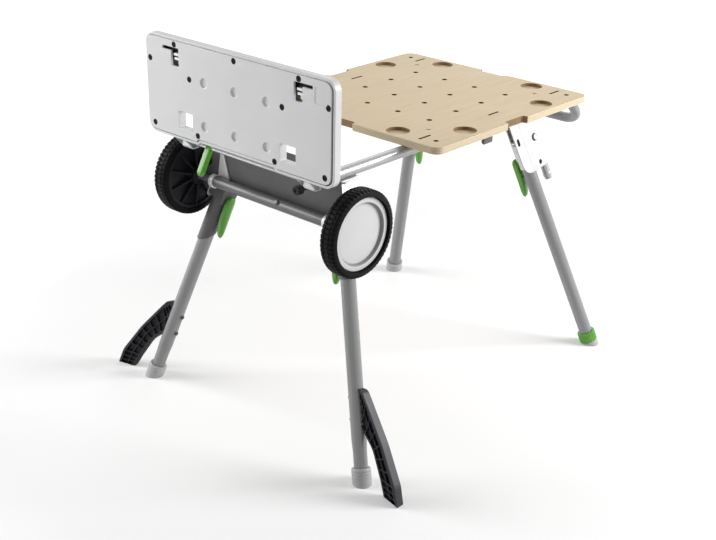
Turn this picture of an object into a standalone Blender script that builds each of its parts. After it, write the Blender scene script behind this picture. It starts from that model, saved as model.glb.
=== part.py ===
"""Folding saw stand with wheels, outriggers and an upright toe plate.

Metres, +Z up. X runs along the wheel axle, Y from the toe plate to the handle.
The origin is on the floor under the middle of the stand. Places along Y are
written as distances behind the toe plate's face and moved by behind().
"""
from math import acos, asin, cos, pi, radians, sin, tan

import bmesh
import bpy
from mathutils import Matrix, Vector

# Clearances between pieces
SEAT_GAP = 0.0003
RUN_GAP = 0.0005

# Board
BOARD_WIDTH = 0.507
BOARD_LENGTH = 0.524
BOARD_THICK = 0.0145
BOARD_TOP = 0.600
BOARD_START = 0.2865
BOARD_CORNER = 0.020
NOTCH_LENGTH = 0.068
NOTCH_DEPTH = 0.011
NOTCH_SLOPE = 0.004
HOLE_PITCH_X = 0.084
HOLE_PITCH_Y = 0.087
HOLES_PER_ROW = 4
HOLE_RADIUS = 0.005
POCKET_RADIUS = 0.0235
POCKET_DEPTH = 0.007
END_POCKET_X = 0.126
END_POCKET_INSET = 0.033
SIDE_POCKET_Y = 0.132
SIDE_POCKET_INSET = 0.0355
CORNER_HOLE_INSET_X = 0.0335
CORNER_HOLE_INSET_Y = 0.036
CORNER_HOLE_RADIUS = 0.0045
SLOT_INSET_X = 0.0635
SLOT_INSET_Y = 0.038
SLOT_LENGTH = 0.034
SLOT_WIDTH = 0.0035
BOARD_SCREW_INSET = 0.079
SCREW_RADIUS = 0.0024
SCREW_HEAD_RADIUS = 0.0045
SCREW_HEAD_DEPTH = 0.003

# Rails and handle
RAIL_SPREAD = 0.332
RAIL_RADIUS = 0.0115
RAIL_WALL = 0.0018
RAIL_START = 0.045
RAIL_BEYOND_BOARD = 0.0245
HANDLE_BEYOND_BOARD = 0.1115
HANDLE_DROP = 0.0687
HANDLE_DIP_LENGTH = 0.060
HANDLE_BEND = 0.045
DIP_BEND = 0.035
SPIGOT_LENGTH = 0.030

# Wheels and axle
AXLE_BEHIND = 0.087
AXLE_HEIGHT = 0.480
AXLE_TUBE_RADIUS = 0.0118
AXLE_TUBE_HALF = 0.162
AXLE_ROD_RADIUS = 0.007
WHEEL_RADIUS = 0.0853
WHEEL_INNER_X = 0.213
WHEEL_WIDTH = 0.030
TYRE_INNER_RADIUS = 0.0725
TYRE_ROUND = 0.007
TYRE_PROUD = 0.0052
COVER_DEPTH = 0.008
COVER_RIM = 0.012
COVER_DISH = 0.0035
HUB_RADIUS = 0.017
HUB_REACH = 0.012
GUSSET_X = 0.140
GUSSET_WIDTH = 0.036
GUSSET_HEIGHT = 0.060
GUSSET_TIP = 0.008
GUSSET_THICK = 0.003

# Front apron
APRON_THICK = 0.002
APRON_BELOW_AXLE = 0.015
APRON_FLANGE = 0.003
APRON_FLANGE_DEPTH = 0.050

# Legs: foot place, slope per metre of height, pivot height along the leg and offset
LEG_RADIUS = 0.015
LEG_WALL = 0.0022
FRONT_FOOT_X = 0.309
FRONT_FOOT_BEHIND = 0.029
FRONT_SLOPE_X = 0.3105
FRONT_SLOPE_Y = 0.206
FRONT_PIVOT_UP = 0.515
REAR_FOOT_X = 0.305
REAR_FOOT_BEHIND = 0.841
REAR_SLOPE_X = 0.317
REAR_SLOPE_Y = 0.264
REAR_PIVOT_UP = 0.527
REAR_PIVOT_OFFSET = 0.029
NECK_RADIUS = 0.0138
NECK_TOP = 0.085
NECK_BOTTOM = 0.062
TUBE_FOOT = 0.013
FOOT_CAP_WALL = 0.0052
FOOT_CAP_HEIGHT = 0.030
ADJUSTER_RING_HEIGHT = 0.024
ADJUSTER_RING_WALL = 0.0055
ADJUSTER_FOOT_HEIGHT = 0.009
ADJUSTER_STEM_LENGTH = 0.060

# Leg joints
SOCKET_WALL = 0.0019
FRONT_SOCKET_LENGTH = 0.140
REAR_SOCKET_LENGTH = 0.058
SOCKET_CLOSED = 0.025
EYE_RADIUS = 0.0155
PIN_RADIUS = 0.005
PIN_HEAD_RADIUS = 0.009
PIN_HEAD_DEPTH = 0.003
CHEEK_THICK = 0.003
FRONT_CHEEK_DROP = 0.060
REAR_CHEEK_DROP = 0.062
REAR_CHEEK_SLANT = 0.012
REAR_INNER_DROP = 0.040
FRONT_CHEEK_INSIDE = 0.022
REAR_CHEEK_INSIDE = 0.069
REAR_INNER_INSIDE = 0.034
CHEEK_SLOT_INSIDE = 0.058
CHEEK_SLOT_UP = 0.014
CHEEK_SLOT_WIDTH = 0.0045
CHEEK_SLOT_LENGTH = 0.013
CHEEK_HOLE_INSIDE = 0.0075
CHEEK_HOLE_DOWN = 0.0575
CHEEK_HOLE_RADIUS = 0.0045
BRACKET_RISE = 0.2
WEB_CLEARANCE = 0.0013
BRACKET_TOP_THICK = 0.004
BRACKET_TOP_INNER = 0.105
BRACKET_TOP_DEPTH = 0.100
POST_RADIUS = 0.009
POST_DROP = 0.116
POST_LENGTH = 0.135

# Leg levers
LEVER_DOWN = 0.090
LEVER_OUT = 0.0235
LEVER_WIDTH = 0.020
LEVER_UPPER = 0.052
LEVER_LOWER = 0.042
LEVER_THICK = 0.009
LEVER_FLARE = 0.006
LEVER_PIN_RADIUS = 0.0025
LUG_WIDTH = 0.008
LUG_HALF_HEIGHT = 0.008
LUG_END = 0.005

# Outriggers: outline in the leg's outward and upward directions, with corner radii,
# as shares of the height
OUTRIGGER_HEIGHT = 0.186
OUTRIGGER_THICK = 0.020
OUTRIGGER_FORWARD = 0.004
OUTRIGGER_SHARES = (
    (0.032, 1.000, 0.022), (0.151, 0.978, 0.070), (0.194, 0.860, 0.108),
    (0.371, 0.446, 0.269), (0.511, 0.027, 0.108), (0.532, -0.242, 0.016),
    (0.317, -0.161, 0.016), (0.280, 0.054, 0.108), (0.199, 0.376, 0.108),
    (0.032, 0.634, 0.022),
)
OUTRIGGER_FLOOR_GAP = 0.001
OUTRIGGER_POCKETS = 6
POCKET_LINE_SHARES = ((0.140, 0.806), (0.406, 0.022))
RIB_PITCH_SHARE = 0.80
RIB_POCKET_WIDTH = 0.018
RIB_POCKET_DEPTH = 0.013
OUTRIGGER_BOLT_LOW = 0.123
OUTRIGGER_BOLT_HIGH = 0.166
OUTRIGGER_BOLT_RADIUS = 0.003
OUTRIGGER_BOLT_HEAD = 0.0055
OUTRIGGER_BOLT_REACH = 0.026

# Toe plate
PLATE_WIDTH = 0.500
PLATE_HEIGHT = 0.198
PLATE_ABOVE_RAILS = 0.0143
PLATE_CORNER = 0.022
PANEL_THICK = 0.005
PLATE_THICK = 0.019
PLATE_NOTCH_HALF = 0.100
PLATE_NOTCH_HEIGHT = 0.006
FRAME_RIM = 0.006
FRAME_RIB = 0.004
FRAME_COLUMNS = 3
FRAME_CELL_CORNER = 0.0015
LATCH_X = 0.176
LATCH_UP = 0.174
LATCH_BAR = 0.044
LATCH_BAR_HEIGHT = 0.005
LATCH_STEM = 0.018
LATCH_STEM_DROP = 0.030
HOOK_THICK = 0.003
HOOK_TAB = 0.012
WINDOW_X = 0.1375
WINDOW_UP = 0.041
WINDOW_SIZE = (0.039, 0.034)
DIMPLE_X = 0.0835
DIMPLE_UP = (0.0415, 0.1265)
DIMPLE_RADIUS = 0.009
DIMPLE_DEPTH = 0.002

# Toe plate hinge, lever and buffer
HINGE_BEHIND = 0.034
HINGE_ROD_RADIUS = 0.003
HINGE_BLOCK_WIDTH = 0.027
HINGE_BLOCK_HEIGHT = 0.024
HINGE_BLOCK_FRONT = 0.010
HINGE_LUG_THICK = 0.0045
HINGE_LUG_RADIUS = 0.0075
HINGE_ROD_OVERHANG = 0.002
PLATE_LEVER_X = -0.110
PLATE_LEVER_WIDTH = 0.016
PLATE_LEVER_LENGTH = 0.058
PLATE_LEVER_TILT = 28.0
PLATE_LEVER_THICK = 0.010
BUFFER_X = 0.132
BUFFER_BELOW_RAILS = 0.0102
BUFFER_RADIUS = 0.0095
BUFFER_FRONT = 0.026
BUFFER_HEAD = 0.014
BUFFER_STEM = 0.005

# Cross brace under the board
BRACE_BEHIND = 0.555
BRACE_WIDTH = 0.030
BRACE_HEIGHT = 0.014
BRACE_END = 0.012
TAB_DROP = 0.0189
TAB_TAPER = 0.004

# Roundness of turned shapes
LEG_SIDES = 20
SMALL_SIDES = 12
WHEEL_SIDES = 36
ARC_STEPS = 4

# Derived places
BOARD_END = BOARD_START + BOARD_LENGTH
RAIL_END = BOARD_END + RAIL_BEYOND_BOARD
HANDLE_REACH = BOARD_END + HANDLE_BEYOND_BOARD
HANDLE_DIP_START = HANDLE_REACH - HANDLE_DIP_LENGTH
LENGTH = HANDLE_REACH + RAIL_RADIUS
BOARD_BOTTOM = BOARD_TOP - BOARD_THICK
BOARD_MIDDLE = BOARD_START + BOARD_LENGTH / 2
HALF_WIDTH = BOARD_WIDTH / 2
HALF_LENGTH = BOARD_LENGTH / 2
POCKETS = ((END_POCKET_X, HALF_LENGTH - END_POCKET_INSET),
           (HALF_WIDTH - SIDE_POCKET_INSET, SIDE_POCKET_Y))
CORNER_HOLE = (HALF_WIDTH - CORNER_HOLE_INSET_X, HALF_LENGTH - CORNER_HOLE_INSET_Y)
SLOT_X = HALF_WIDTH - SLOT_INSET_X
SLOT_ROWS = (SLOT_INSET_Y - HALF_LENGTH, 0.0, HALF_LENGTH - SLOT_INSET_Y)
BOARD_SCREW_Y = HALF_LENGTH - BOARD_SCREW_INSET
RAIL_X = RAIL_SPREAD / 2
RAIL_Z = BOARD_BOTTOM - SEAT_GAP - RAIL_RADIUS
RAIL_BOTTOM = RAIL_Z - RAIL_RADIUS
RAIL_BORE = RAIL_RADIUS - RAIL_WALL
HANDLE_HEIGHT = RAIL_Z - HANDLE_DROP
BUFFER_HEIGHT = RAIL_BOTTOM - BUFFER_BELOW_RAILS
SOCKET_RADIUS = LEG_RADIUS + SEAT_GAP + SOCKET_WALL
CHEEK_INNER = SOCKET_RADIUS + WEB_CLEARANCE
EYE_HALF = CHEEK_INNER - RUN_GAP
APRON_FACE = AXLE_BEHIND + AXLE_TUBE_RADIUS + SEAT_GAP
APRON_TOP = RAIL_BOTTOM - SEAT_GAP
APRON_BOTTOM = AXLE_HEIGHT - APRON_BELOW_AXLE
PLATE_BOTTOM = RAIL_Z + PLATE_ABOVE_RAILS
PLATE_MIDDLE_Z = PLATE_BOTTOM + PLATE_HEIGHT / 2
FRAME_THICK = PLATE_THICK - PANEL_THICK - SEAT_GAP
AXLE_ROD_HALF = WHEEL_INNER_X + WHEEL_WIDTH - COVER_DEPTH - 2 * RUN_GAP
SIDES = (("left", -1), ("right", 1))

# Turns that lay a flat outline into another plane
FLAT = Matrix.Identity(4)
UPRIGHT_XZ = Matrix.Rotation(pi / 2, 4, "X")
UPRIGHT_YZ = Matrix(((0, 0, 1, 0), (1, 0, 0, 0), (0, 1, 0, 0), (0, 0, 0, 1)))
ALONG_X = Matrix.Rotation(pi / 2, 4, "Y")
ALONG_Y = Matrix.Rotation(-pi / 2, 4, "X")


def behind(distance):
    """World Y of a place that lies this far behind the toe plate's face."""
    return distance - LENGTH / 2


for old in list(bpy.data.objects):
    bpy.data.objects.remove(old, do_unlink=True)

PARTS = bpy.data.collections.new("saw_stand")
CUTTERS = bpy.data.collections.new("saw_stand_cutters")
bpy.context.scene.collection.children.link(PARTS)
bpy.context.scene.collection.children.link(CUTTERS)


def finish(name, colour, roughness, metallic):
    """A Principled material with one colour."""
    made = bpy.data.materials.new(name)
    made.use_nodes = True
    shader = made.node_tree.nodes["Principled BSDF"]
    shader.inputs["Base Color"].default_value = (*colour, 1.0)
    shader.inputs["Roughness"].default_value = roughness
    shader.inputs["Metallic"].default_value = metallic
    return made


PLYWOOD = finish("birch_plywood", (0.73, 0.61, 0.43), 0.6, 0.0)
SILVER = finish("satin_silver", (0.62, 0.63, 0.64), 0.35, 0.9)
BRIGHT = finish("bright_sheet", (0.80, 0.81, 0.82), 0.35, 0.8)
DARK = finish("dark_grey_coat", (0.09, 0.09, 0.095), 0.55, 0.0)
GREEN = finish("green_plastic", (0.13, 0.40, 0.06), 0.45, 0.0)
BLACK = finish("black_plastic", (0.02, 0.02, 0.024), 0.6, 0.0)
RUBBER = finish("tyre_rubber", (0.015, 0.015, 0.016), 0.85, 0.0)
PALE = finish("pale_grey_plastic", (0.62, 0.63, 0.64), 0.5, 0.0)
STEEL = finish("zinc_steel", (0.55, 0.55, 0.55), 0.35, 1.0)


def solid(name, mesh, material, parent=None):
    """One named piece, in the stand's collection and under its pivot if it has one."""
    piece = bpy.data.objects.new(name, mesh)
    PARTS.objects.link(piece)
    mesh.materials.clear()
    mesh.materials.append(material)
    mesh.shade_smooth()
    mesh.set_sharp_from_angle(angle=radians(35))
    piece.parent = parent
    return piece


def helper(mesh, parent=None):
    """A hidden shape that cuts or joins a piece."""
    made = bpy.data.objects.new("cutter", mesh)
    CUTTERS.objects.link(made)
    made.hide_render = True
    made.display_type = "WIRE"
    made.parent = parent
    return made


def combine(piece, other, operation):
    """A Boolean of the piece with a hidden helper."""
    step = piece.modifiers.new(operation.lower(), "BOOLEAN")
    step.operation = operation
    step.object = other


def cut(piece, mesh, parent=None):
    """Takes a shape out of a piece."""
    combine(piece, helper(mesh, parent), "DIFFERENCE")


def weld(piece, mesh, parent=None):
    """Adds a shape to a piece as one body."""
    combine(piece, helper(mesh, parent), "UNION")


def pivot_empty(name, matrix):
    """The empty on a joint's axis that carries a moving body's pieces."""
    empty = bpy.data.objects.new(name, None)
    PARTS.objects.link(empty)
    empty.empty_display_size = 0.03
    empty.matrix_world = matrix
    return empty


def cylinder(radius, start, end, sides=SMALL_SIDES, end_radius=None):
    """A closed cylinder or cone between two points."""
    start, end = Vector(start), Vector(end)
    run = end - start
    turn = Vector((0, 0, 1)).rotation_difference(run).to_matrix().to_4x4()
    shape = bmesh.new()
    bmesh.ops.create_cone(
        shape, cap_ends=True, segments=sides, radius1=radius,
        radius2=radius if end_radius is None else end_radius, depth=run.length,
        matrix=Matrix.Translation((start + end) / 2) @ turn)
    return bmesh_to_mesh(shape)


def block(low, high):
    """A closed box between two corners."""
    low, high = Vector(low), Vector(high)
    shape = bmesh.new()
    bmesh.ops.create_cube(shape, size=1.0)
    bmesh.ops.scale(shape, vec=high - low, verts=shape.verts)
    bmesh.ops.translate(shape, vec=(low + high) / 2, verts=shape.verts)
    return bmesh_to_mesh(shape)


def bmesh_to_mesh(shape):
    """Moves a bmesh into new mesh data."""
    mesh = bpy.data.meshes.new("shape")
    shape.to_mesh(mesh)
    shape.free()
    return mesh


def group(meshes):
    """Several closed shapes in one mesh, for a cutter that makes many cuts."""
    shape = bmesh.new()
    for mesh in meshes:
        shape.from_mesh(mesh)
        bpy.data.meshes.remove(mesh)
    return bmesh_to_mesh(shape)


def curve_to_mesh(curve):
    """The closed mesh of a curve, with its loose caps joined on."""
    holder = bpy.data.objects.new("outline", curve)
    CUTTERS.objects.link(holder)
    bpy.context.view_layer.update()
    ready = holder.evaluated_get(bpy.context.evaluated_depsgraph_get())
    mesh = bpy.data.meshes.new_from_object(ready)
    bpy.data.objects.remove(holder, do_unlink=True)
    bpy.data.curves.remove(curve)
    shape = bmesh.new()
    shape.from_mesh(mesh)
    bpy.data.meshes.remove(mesh)
    bmesh.ops.remove_doubles(shape, verts=shape.verts, dist=0.00001)
    bmesh.ops.recalc_face_normals(shape, faces=shape.faces)
    return bmesh_to_mesh(shape)


def add_loop(curve, points, closed):
    """One straight-segment spline through the points."""
    spline = curve.splines.new("POLY")
    spline.points.add(len(points) - 1)
    for place, point in zip(spline.points, points):
        place.co = (*point, 1.0)
    spline.use_cyclic_u = closed


def slab(loops, thick, turn=FLAT, at=(0, 0, 0)):
    """A flat outline, with any holes, given a thickness about its plane."""
    curve = bpy.data.curves.new("outline", "CURVE")
    curve.dimensions = "2D"
    curve.fill_mode = "BOTH"
    curve.extrude = thick / 2
    for loop in loops:
        add_loop(curve, [(x, y, 0) for x, y in loop], True)
    mesh = curve_to_mesh(curve)
    mesh.transform(Matrix.Translation(Vector(at)) @ turn)
    return mesh


def bent_tube(points, radius, resolution=4):
    """A round bar along a path of points, with flat ends."""
    curve = bpy.data.curves.new("path", "CURVE")
    curve.dimensions = "3D"
    curve.bevel_depth = radius
    curve.bevel_resolution = resolution
    curve.use_fill_caps = True
    add_loop(curve, points, False)
    return curve_to_mesh(curve)


def turned(name, profile, material, sides, parent=None, turn=FLAT, at=(0, 0, 0)):
    """A closed profile of radius and height, run round the Z axis with a Screw."""
    mesh = bpy.data.meshes.new(name)
    count = len(profile)
    loop = [(i, (i + 1) % count) for i in range(count)]
    mesh.from_pydata([(r, 0, z) for r, z in profile], loop, [])
    piece = bpy.data.objects.new(name, mesh)
    PARTS.objects.link(piece)
    mesh.materials.append(material)
    spin = piece.modifiers.new("turn", "SCREW")
    spin.steps = sides
    spin.render_steps = sides
    spin.use_merge_vertices = True
    spin.merge_threshold = 0.00001
    spin.use_smooth_shade = True
    piece.parent = parent
    piece.matrix_local = Matrix.Translation(Vector(at)) @ turn
    return piece


def rounded(corners, steps=ARC_STEPS):
    """Polygon points with each corner (x, y, radius) drawn as an arc."""
    points = []
    count = len(corners)
    for i in range(count):
        x, y, radius = corners[i]
        here = Vector((x, y))
        before = (Vector(corners[i - 1][:2]) - here)
        after = (Vector(corners[(i + 1) % count][:2]) - here)
        points += [tuple(p) for p in corner_arc(here, before, after, radius, steps)]
    return points


def corner_arc(here, before, after, radius, steps):
    """The arc of a radius that is tangent to the two sides of a corner."""
    if radius <= 0:
        return [here]
    before, after = before.normalized(), after.normalized()
    half = acos(max(-1.0, min(1.0, before.dot(after)))) / 2
    middle = here + (before + after).normalized() * (radius / sin(half))
    foot = here + before * (radius / tan(half))
    spoke = foot - middle
    other = here + after * (radius / tan(half)) - middle
    sweep = pi - 2 * half
    square = (other - spoke * cos(sweep)) / sin(sweep)
    return [middle + spoke * cos(sweep * k / steps) + square * sin(sweep * k / steps)
            for k in range(steps + 1)]


def fillet_path(points, radii, steps=ARC_STEPS):
    """A 3D path whose inner corners are arcs of the given radii."""
    path = [Vector(points[0])]
    for i in range(1, len(points) - 1):
        here = Vector(points[i])
        path += corner_arc(here, Vector(points[i - 1]) - here, Vector(points[i + 1]) - here,
                           radii[i - 1], steps)
    return path + [Vector(points[-1])]


def circle(x, y, radius, sides=SMALL_SIDES):
    """A round loop."""
    return [(x + radius * cos(2 * pi * k / sides), y + radius * sin(2 * pi * k / sides))
            for k in range(sides)]


def rectangle(width, height, radius, x=0.0, y=0.0):
    """A rectangle with round corners."""
    half_w, half_h = width / 2, height / 2
    signs = ((-1, -1), (1, -1), (1, 1), (-1, 1))
    return rounded([(x + sx * half_w, y + sy * half_h, radius) for sx, sy in signs])


class Leg:
    """One leg's place: its name, its pivot empty and the frame that it folds in.

    Local Z runs up the leg, local Y the way the foot is splayed along the stand,
    local X is the fold axis, and out is +1 or -1 for which way along X is outward.
    """

    def __init__(self, end, side_name, side):
        front = end == "front"
        foot_x, foot_y, slope_x, slope_y, self.reach, self.offset = (
            (FRONT_FOOT_X, FRONT_FOOT_BEHIND, FRONT_SLOPE_X, FRONT_SLOPE_Y, FRONT_PIVOT_UP, 0.0)
            if front else
            (REAR_FOOT_X, REAR_FOOT_BEHIND, REAR_SLOPE_X, -REAR_SLOPE_Y, REAR_PIVOT_UP,
             REAR_PIVOT_OFFSET))
        self.front = front
        self.name = f"{end}_leg"
        self.side_name = side_name
        up = Vector((-side * slope_x, slope_y, 1)).normalized()
        outward = Vector((side, 0, slope_x)).normalized()
        splay = up.cross(outward).normalized()
        if splay.y * slope_y > 0:
            splay = -splay
        across = splay.cross(up)
        self.out = 1 if across.dot(outward) > 0 else -1
        foot = Vector((side * foot_x, behind(foot_y), 0))
        pivot = foot + up * self.reach + splay * self.offset
        frame = Matrix((across, splay, up)).transposed().to_4x4()
        frame.translation = pivot
        self.frame = frame
        self.empty = pivot_empty(f"{self.name}_{side_name}_pivot", frame)
        self.axis_y = -self.offset

    def node(self, piece):
        """A piece's node name on this leg."""
        return f"{self.name}_{piece}_{self.side_name}"

    def at(self, up):
        """Local height of a place measured up the leg from the floor."""
        return up - self.reach


LEGS = [Leg(end, name, side) for end in ("front", "rear") for name, side in SIDES]
FRONT_LEGS = LEGS[:2]
REAR_LEGS = LEGS[2:]
ADJUSTED_LEG = LEGS[3]


def make_board():
    """Plywood top: outline with edge notches, through holes, slots and round pockets."""
    mouth = NOTCH_LENGTH / 2
    floor = mouth - NOTCH_SLOPE
    corners = []
    for quarter in range(4):
        wide = quarter % 2 == 0
        reach, run = (HALF_LENGTH, HALF_WIDTH) if wide else (HALF_WIDTH, HALF_LENGTH)
        side = ((-run, reach, BOARD_CORNER), (-mouth, reach, 0), (-floor, reach - NOTCH_DEPTH, 0),
                (floor, reach - NOTCH_DEPTH, 0), (mouth, reach, 0))
        turn = -quarter * pi / 2
        for x, y, radius in side:
            corners.append((x * cos(turn) - y * sin(turn), x * sin(turn) + y * cos(turn), radius))
    loops = [rounded(corners)]
    middle = (HOLES_PER_ROW - 1) / 2
    for i in range(HOLES_PER_ROW):
        for j in range(HOLES_PER_ROW):
            loops.append(circle((i - middle) * HOLE_PITCH_X, (j - middle) * HOLE_PITCH_Y,
                                HOLE_RADIUS, 12))
    for sx in (-1, 1):
        for sy in (-1, 1):
            loops.append(circle(sx * CORNER_HOLE[0], sy * CORNER_HOLE[1], CORNER_HOLE_RADIUS, 12))
            loops.append(circle(sx * RAIL_X, sy * BOARD_SCREW_Y, SCREW_RADIUS + SEAT_GAP, 12))
        for y in SLOT_ROWS:
            loops.append(rectangle(SLOT_WIDTH, SLOT_LENGTH, SLOT_WIDTH * 0.45, sx * SLOT_X, y))
    centre = (0, behind(BOARD_MIDDLE), BOARD_TOP - BOARD_THICK / 2)
    board = solid("board", slab(loops, BOARD_THICK, FLAT, centre), PLYWOOD)
    over = BOARD_TOP + POCKET_DEPTH
    pockets = []
    sinks = []
    for sx in (-1, 1):
        for sy in (-1, 1):
            for px, py in POCKETS:
                x, y = sx * px, behind(BOARD_MIDDLE) + sy * py
                pockets.append(cylinder(POCKET_RADIUS, (x, y, BOARD_TOP - POCKET_DEPTH),
                                        (x, y, over), 24))
            x, y = sx * RAIL_X, behind(BOARD_MIDDLE) + sy * BOARD_SCREW_Y
            sinks.append(cylinder(SCREW_HEAD_RADIUS + SEAT_GAP,
                                  (x, y, BOARD_TOP - SCREW_HEAD_DEPTH - SEAT_GAP), (x, y, over), 12))
    cut(board, group(pockets))
    cut(board, group(sinks))


def make_board_screws():
    """Four screws through the board into the rails."""
    number = 0
    for sx in (-1, 1):
        for sy in (-1, 1):
            number += 1
            x, y = sx * RAIL_X, behind(BOARD_MIDDLE) + sy * BOARD_SCREW_Y
            head = BOARD_TOP - SEAT_GAP
            under = head - SCREW_HEAD_DEPTH
            profile = [(0.0, head), (SCREW_HEAD_RADIUS, head), (SCREW_HEAD_RADIUS, under),
                       (SCREW_RADIUS, under), (SCREW_RADIUS, RAIL_Z), (0.0, RAIL_Z)]
            screw = lathe_solid(f"board_screw_{number}", profile, STEEL, 12)
            screw.location = (x, y, 0)


def lathe_solid(name, profile, material, sides, parent=None, turn=FLAT, at=(0, 0, 0)):
    """A turned piece with no bore: its profile starts and ends on the axis."""
    mesh = bpy.data.meshes.new(name)
    mesh.from_pydata([(r, 0, z) for r, z in profile],
                     [(i, i + 1) for i in range(len(profile) - 1)], [])
    piece = bpy.data.objects.new(name, mesh)
    PARTS.objects.link(piece)
    mesh.materials.append(material)
    spin = piece.modifiers.new("turn", "SCREW")
    spin.steps = sides
    spin.render_steps = sides
    spin.use_merge_vertices = True
    spin.merge_threshold = 0.00001
    spin.use_smooth_shade = True
    piece.parent = parent
    piece.matrix_local = Matrix.Translation(Vector(at)) @ turn
    return piece


def make_rails():
    """Two tubes along the stand, each with holes for the board's screws."""
    for name, side in SIDES:
        length = RAIL_END - RAIL_START
        ring = [(RAIL_RADIUS, length), (RAIL_RADIUS, 0), (RAIL_BORE, 0), (RAIL_BORE, length)]
        rail = turned(f"rail_{name}", ring, SILVER, LEG_SIDES, None, ALONG_Y,
                      (side * RAIL_X, behind(RAIL_START), RAIL_Z))
        holes = []
        for sy in (-1, 1):
            y = behind(BOARD_MIDDLE) + sy * BOARD_SCREW_Y
            holes.append(cylinder(SCREW_RADIUS + SEAT_GAP, (side * RAIL_X, y, RAIL_Z),
                                  (side * RAIL_X, y, BOARD_TOP), 12))
        cut(rail, group(holes))


def make_handle():
    """Bent tube that plugs into both rails, dips and crosses as the hand grip."""
    start = behind(RAIL_END) + SEAT_GAP
    half = [(RAIL_X, start, RAIL_Z), (RAIL_X, behind(HANDLE_DIP_START), RAIL_Z),
            (RAIL_X, behind(HANDLE_REACH), HANDLE_HEIGHT)]
    corners = half + [(-x, y, z) for x, y, z in reversed(half)]
    path = fillet_path(corners, (DIP_BEND, HANDLE_BEND, HANDLE_BEND, DIP_BEND))
    handle = solid("handle_bow", bent_tube(path, RAIL_RADIUS), SILVER)
    for _, side in SIDES:
        x = side * RAIL_X
        weld(handle, cylinder(RAIL_BORE - SEAT_GAP, (x, start - SPIGOT_LENGTH, RAIL_Z),
                              (x, start + RAIL_RADIUS, RAIL_Z)))


def make_apron():
    """Dark folded sheet: an upright face with a tongue between the rails, and a flange."""
    reach = RAIL_X + RAIL_RADIUS
    tongue = RAIL_X - RAIL_RADIUS - SEAT_GAP
    y0 = behind(APRON_FACE)
    high = BOARD_BOTTOM - SEAT_GAP
    outline = [(-reach, APRON_BOTTOM), (reach, APRON_BOTTOM), (reach, APRON_TOP), (tongue, APRON_TOP),
               (tongue, high), (-tongue, high), (-tongue, APRON_TOP), (-reach, APRON_TOP)]
    apron = solid("front_apron", slab([outline], APRON_THICK, UPRIGHT_XZ, (0, y0 + APRON_THICK / 2, 0)),
                  DARK)
    weld(apron, block((-reach, y0 + APRON_THICK / 2, APRON_TOP - APRON_FLANGE),
                      (reach, y0 + APRON_FLANGE_DEPTH, APRON_TOP)))


def make_axle():
    """Axle tube with its welded gusset, and the rod that carries the wheels."""
    centre = (0, behind(AXLE_BEHIND), AXLE_HEIGHT)
    bore = AXLE_ROD_RADIUS + SEAT_GAP
    ring = [(AXLE_TUBE_RADIUS, AXLE_TUBE_HALF), (AXLE_TUBE_RADIUS, -AXLE_TUBE_HALF),
            (bore, -AXLE_TUBE_HALF), (bore, AXLE_TUBE_HALF)]
    tube = turned("axle_tube", ring, SILVER, LEG_SIDES, None, ALONG_X, centre)
    wall = (bore + AXLE_TUBE_RADIUS) / 2
    y = behind(APRON_FACE) - SEAT_GAP - GUSSET_THICK / 2
    low = AXLE_HEIGHT + wall * 0.3
    outline = [(-GUSSET_X - GUSSET_WIDTH / 2, low), (-GUSSET_X + GUSSET_WIDTH / 2, low),
               (-GUSSET_X, low + GUSSET_HEIGHT), (-GUSSET_X - GUSSET_TIP, low + GUSSET_HEIGHT)]
    weld(tube, slab([outline], GUSSET_THICK, UPRIGHT_XZ, (0, y, 0)))
    cut(tube, cylinder(bore, (-GUSSET_X - GUSSET_WIDTH, centre[1], AXLE_HEIGHT),
                       (-GUSSET_X + GUSSET_WIDTH, centre[1], AXLE_HEIGHT), LEG_SIDES))
    solid("axle_rod", cylinder(AXLE_ROD_RADIUS, (-AXLE_ROD_HALF, centre[1], AXLE_HEIGHT),
                               (AXLE_ROD_HALF, centre[1], AXLE_HEIGHT), LEG_SIDES), STEEL)


def make_wheels():
    """Tyre, rim with its hub, and pale outer cover, turned about the axle."""
    for name, side in SIDES:
        turn = Matrix.Rotation(side * pi / 2, 4, "Y")
        at = (side * WHEEL_INNER_X, behind(AXLE_BEHIND), AXLE_HEIGHT)
        empty = pivot_empty(f"wheel_{name}_pivot", Matrix.Translation(Vector(at)) @ turn)
        width = WHEEL_WIDTH
        bulge = TYRE_ROUND
        side_wall = width + TYRE_PROUD
        outer = rounded([(TYRE_INNER_RADIUS, side_wall, 0), (WHEEL_RADIUS, side_wall, bulge),
                         (WHEEL_RADIUS, 0, bulge), (TYRE_INNER_RADIUS, 0, 0)], 4)
        turned(f"tyre_{name}", outer, RUBBER, WHEEL_SIDES, empty)
        bore = AXLE_ROD_RADIUS + SEAT_GAP
        edge = TYRE_INNER_RADIUS - SEAT_GAP
        back = width - COVER_DEPTH - SEAT_GAP
        web = (back * 0.35, back * 0.65)
        flange = edge * 0.9
        rim = [(edge, back), (edge, 0.002), (flange, 0.002), (flange, web[0]), (HUB_RADIUS, web[0]),
               (HUB_RADIUS, -HUB_REACH), (bore, -HUB_REACH), (bore, back), (HUB_RADIUS, back),
               (HUB_RADIUS, web[1]), (flange, web[1]), (flange, back)]
        turned(f"wheel_rim_{name}", rim, BLACK, WHEEL_SIDES, empty)
        dish = edge - COVER_RIM
        low = width - COVER_DEPTH
        cover = [(0.0, width - COVER_DISH), (dish, width - COVER_DISH), (dish + COVER_DISH, width),
                 (edge - 0.002, width), (edge, width - 0.002), (edge, low), (0.0, low)]
        lathe_solid(f"wheel_cover_{name}", cover, PALE, WHEEL_SIDES, empty)


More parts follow.
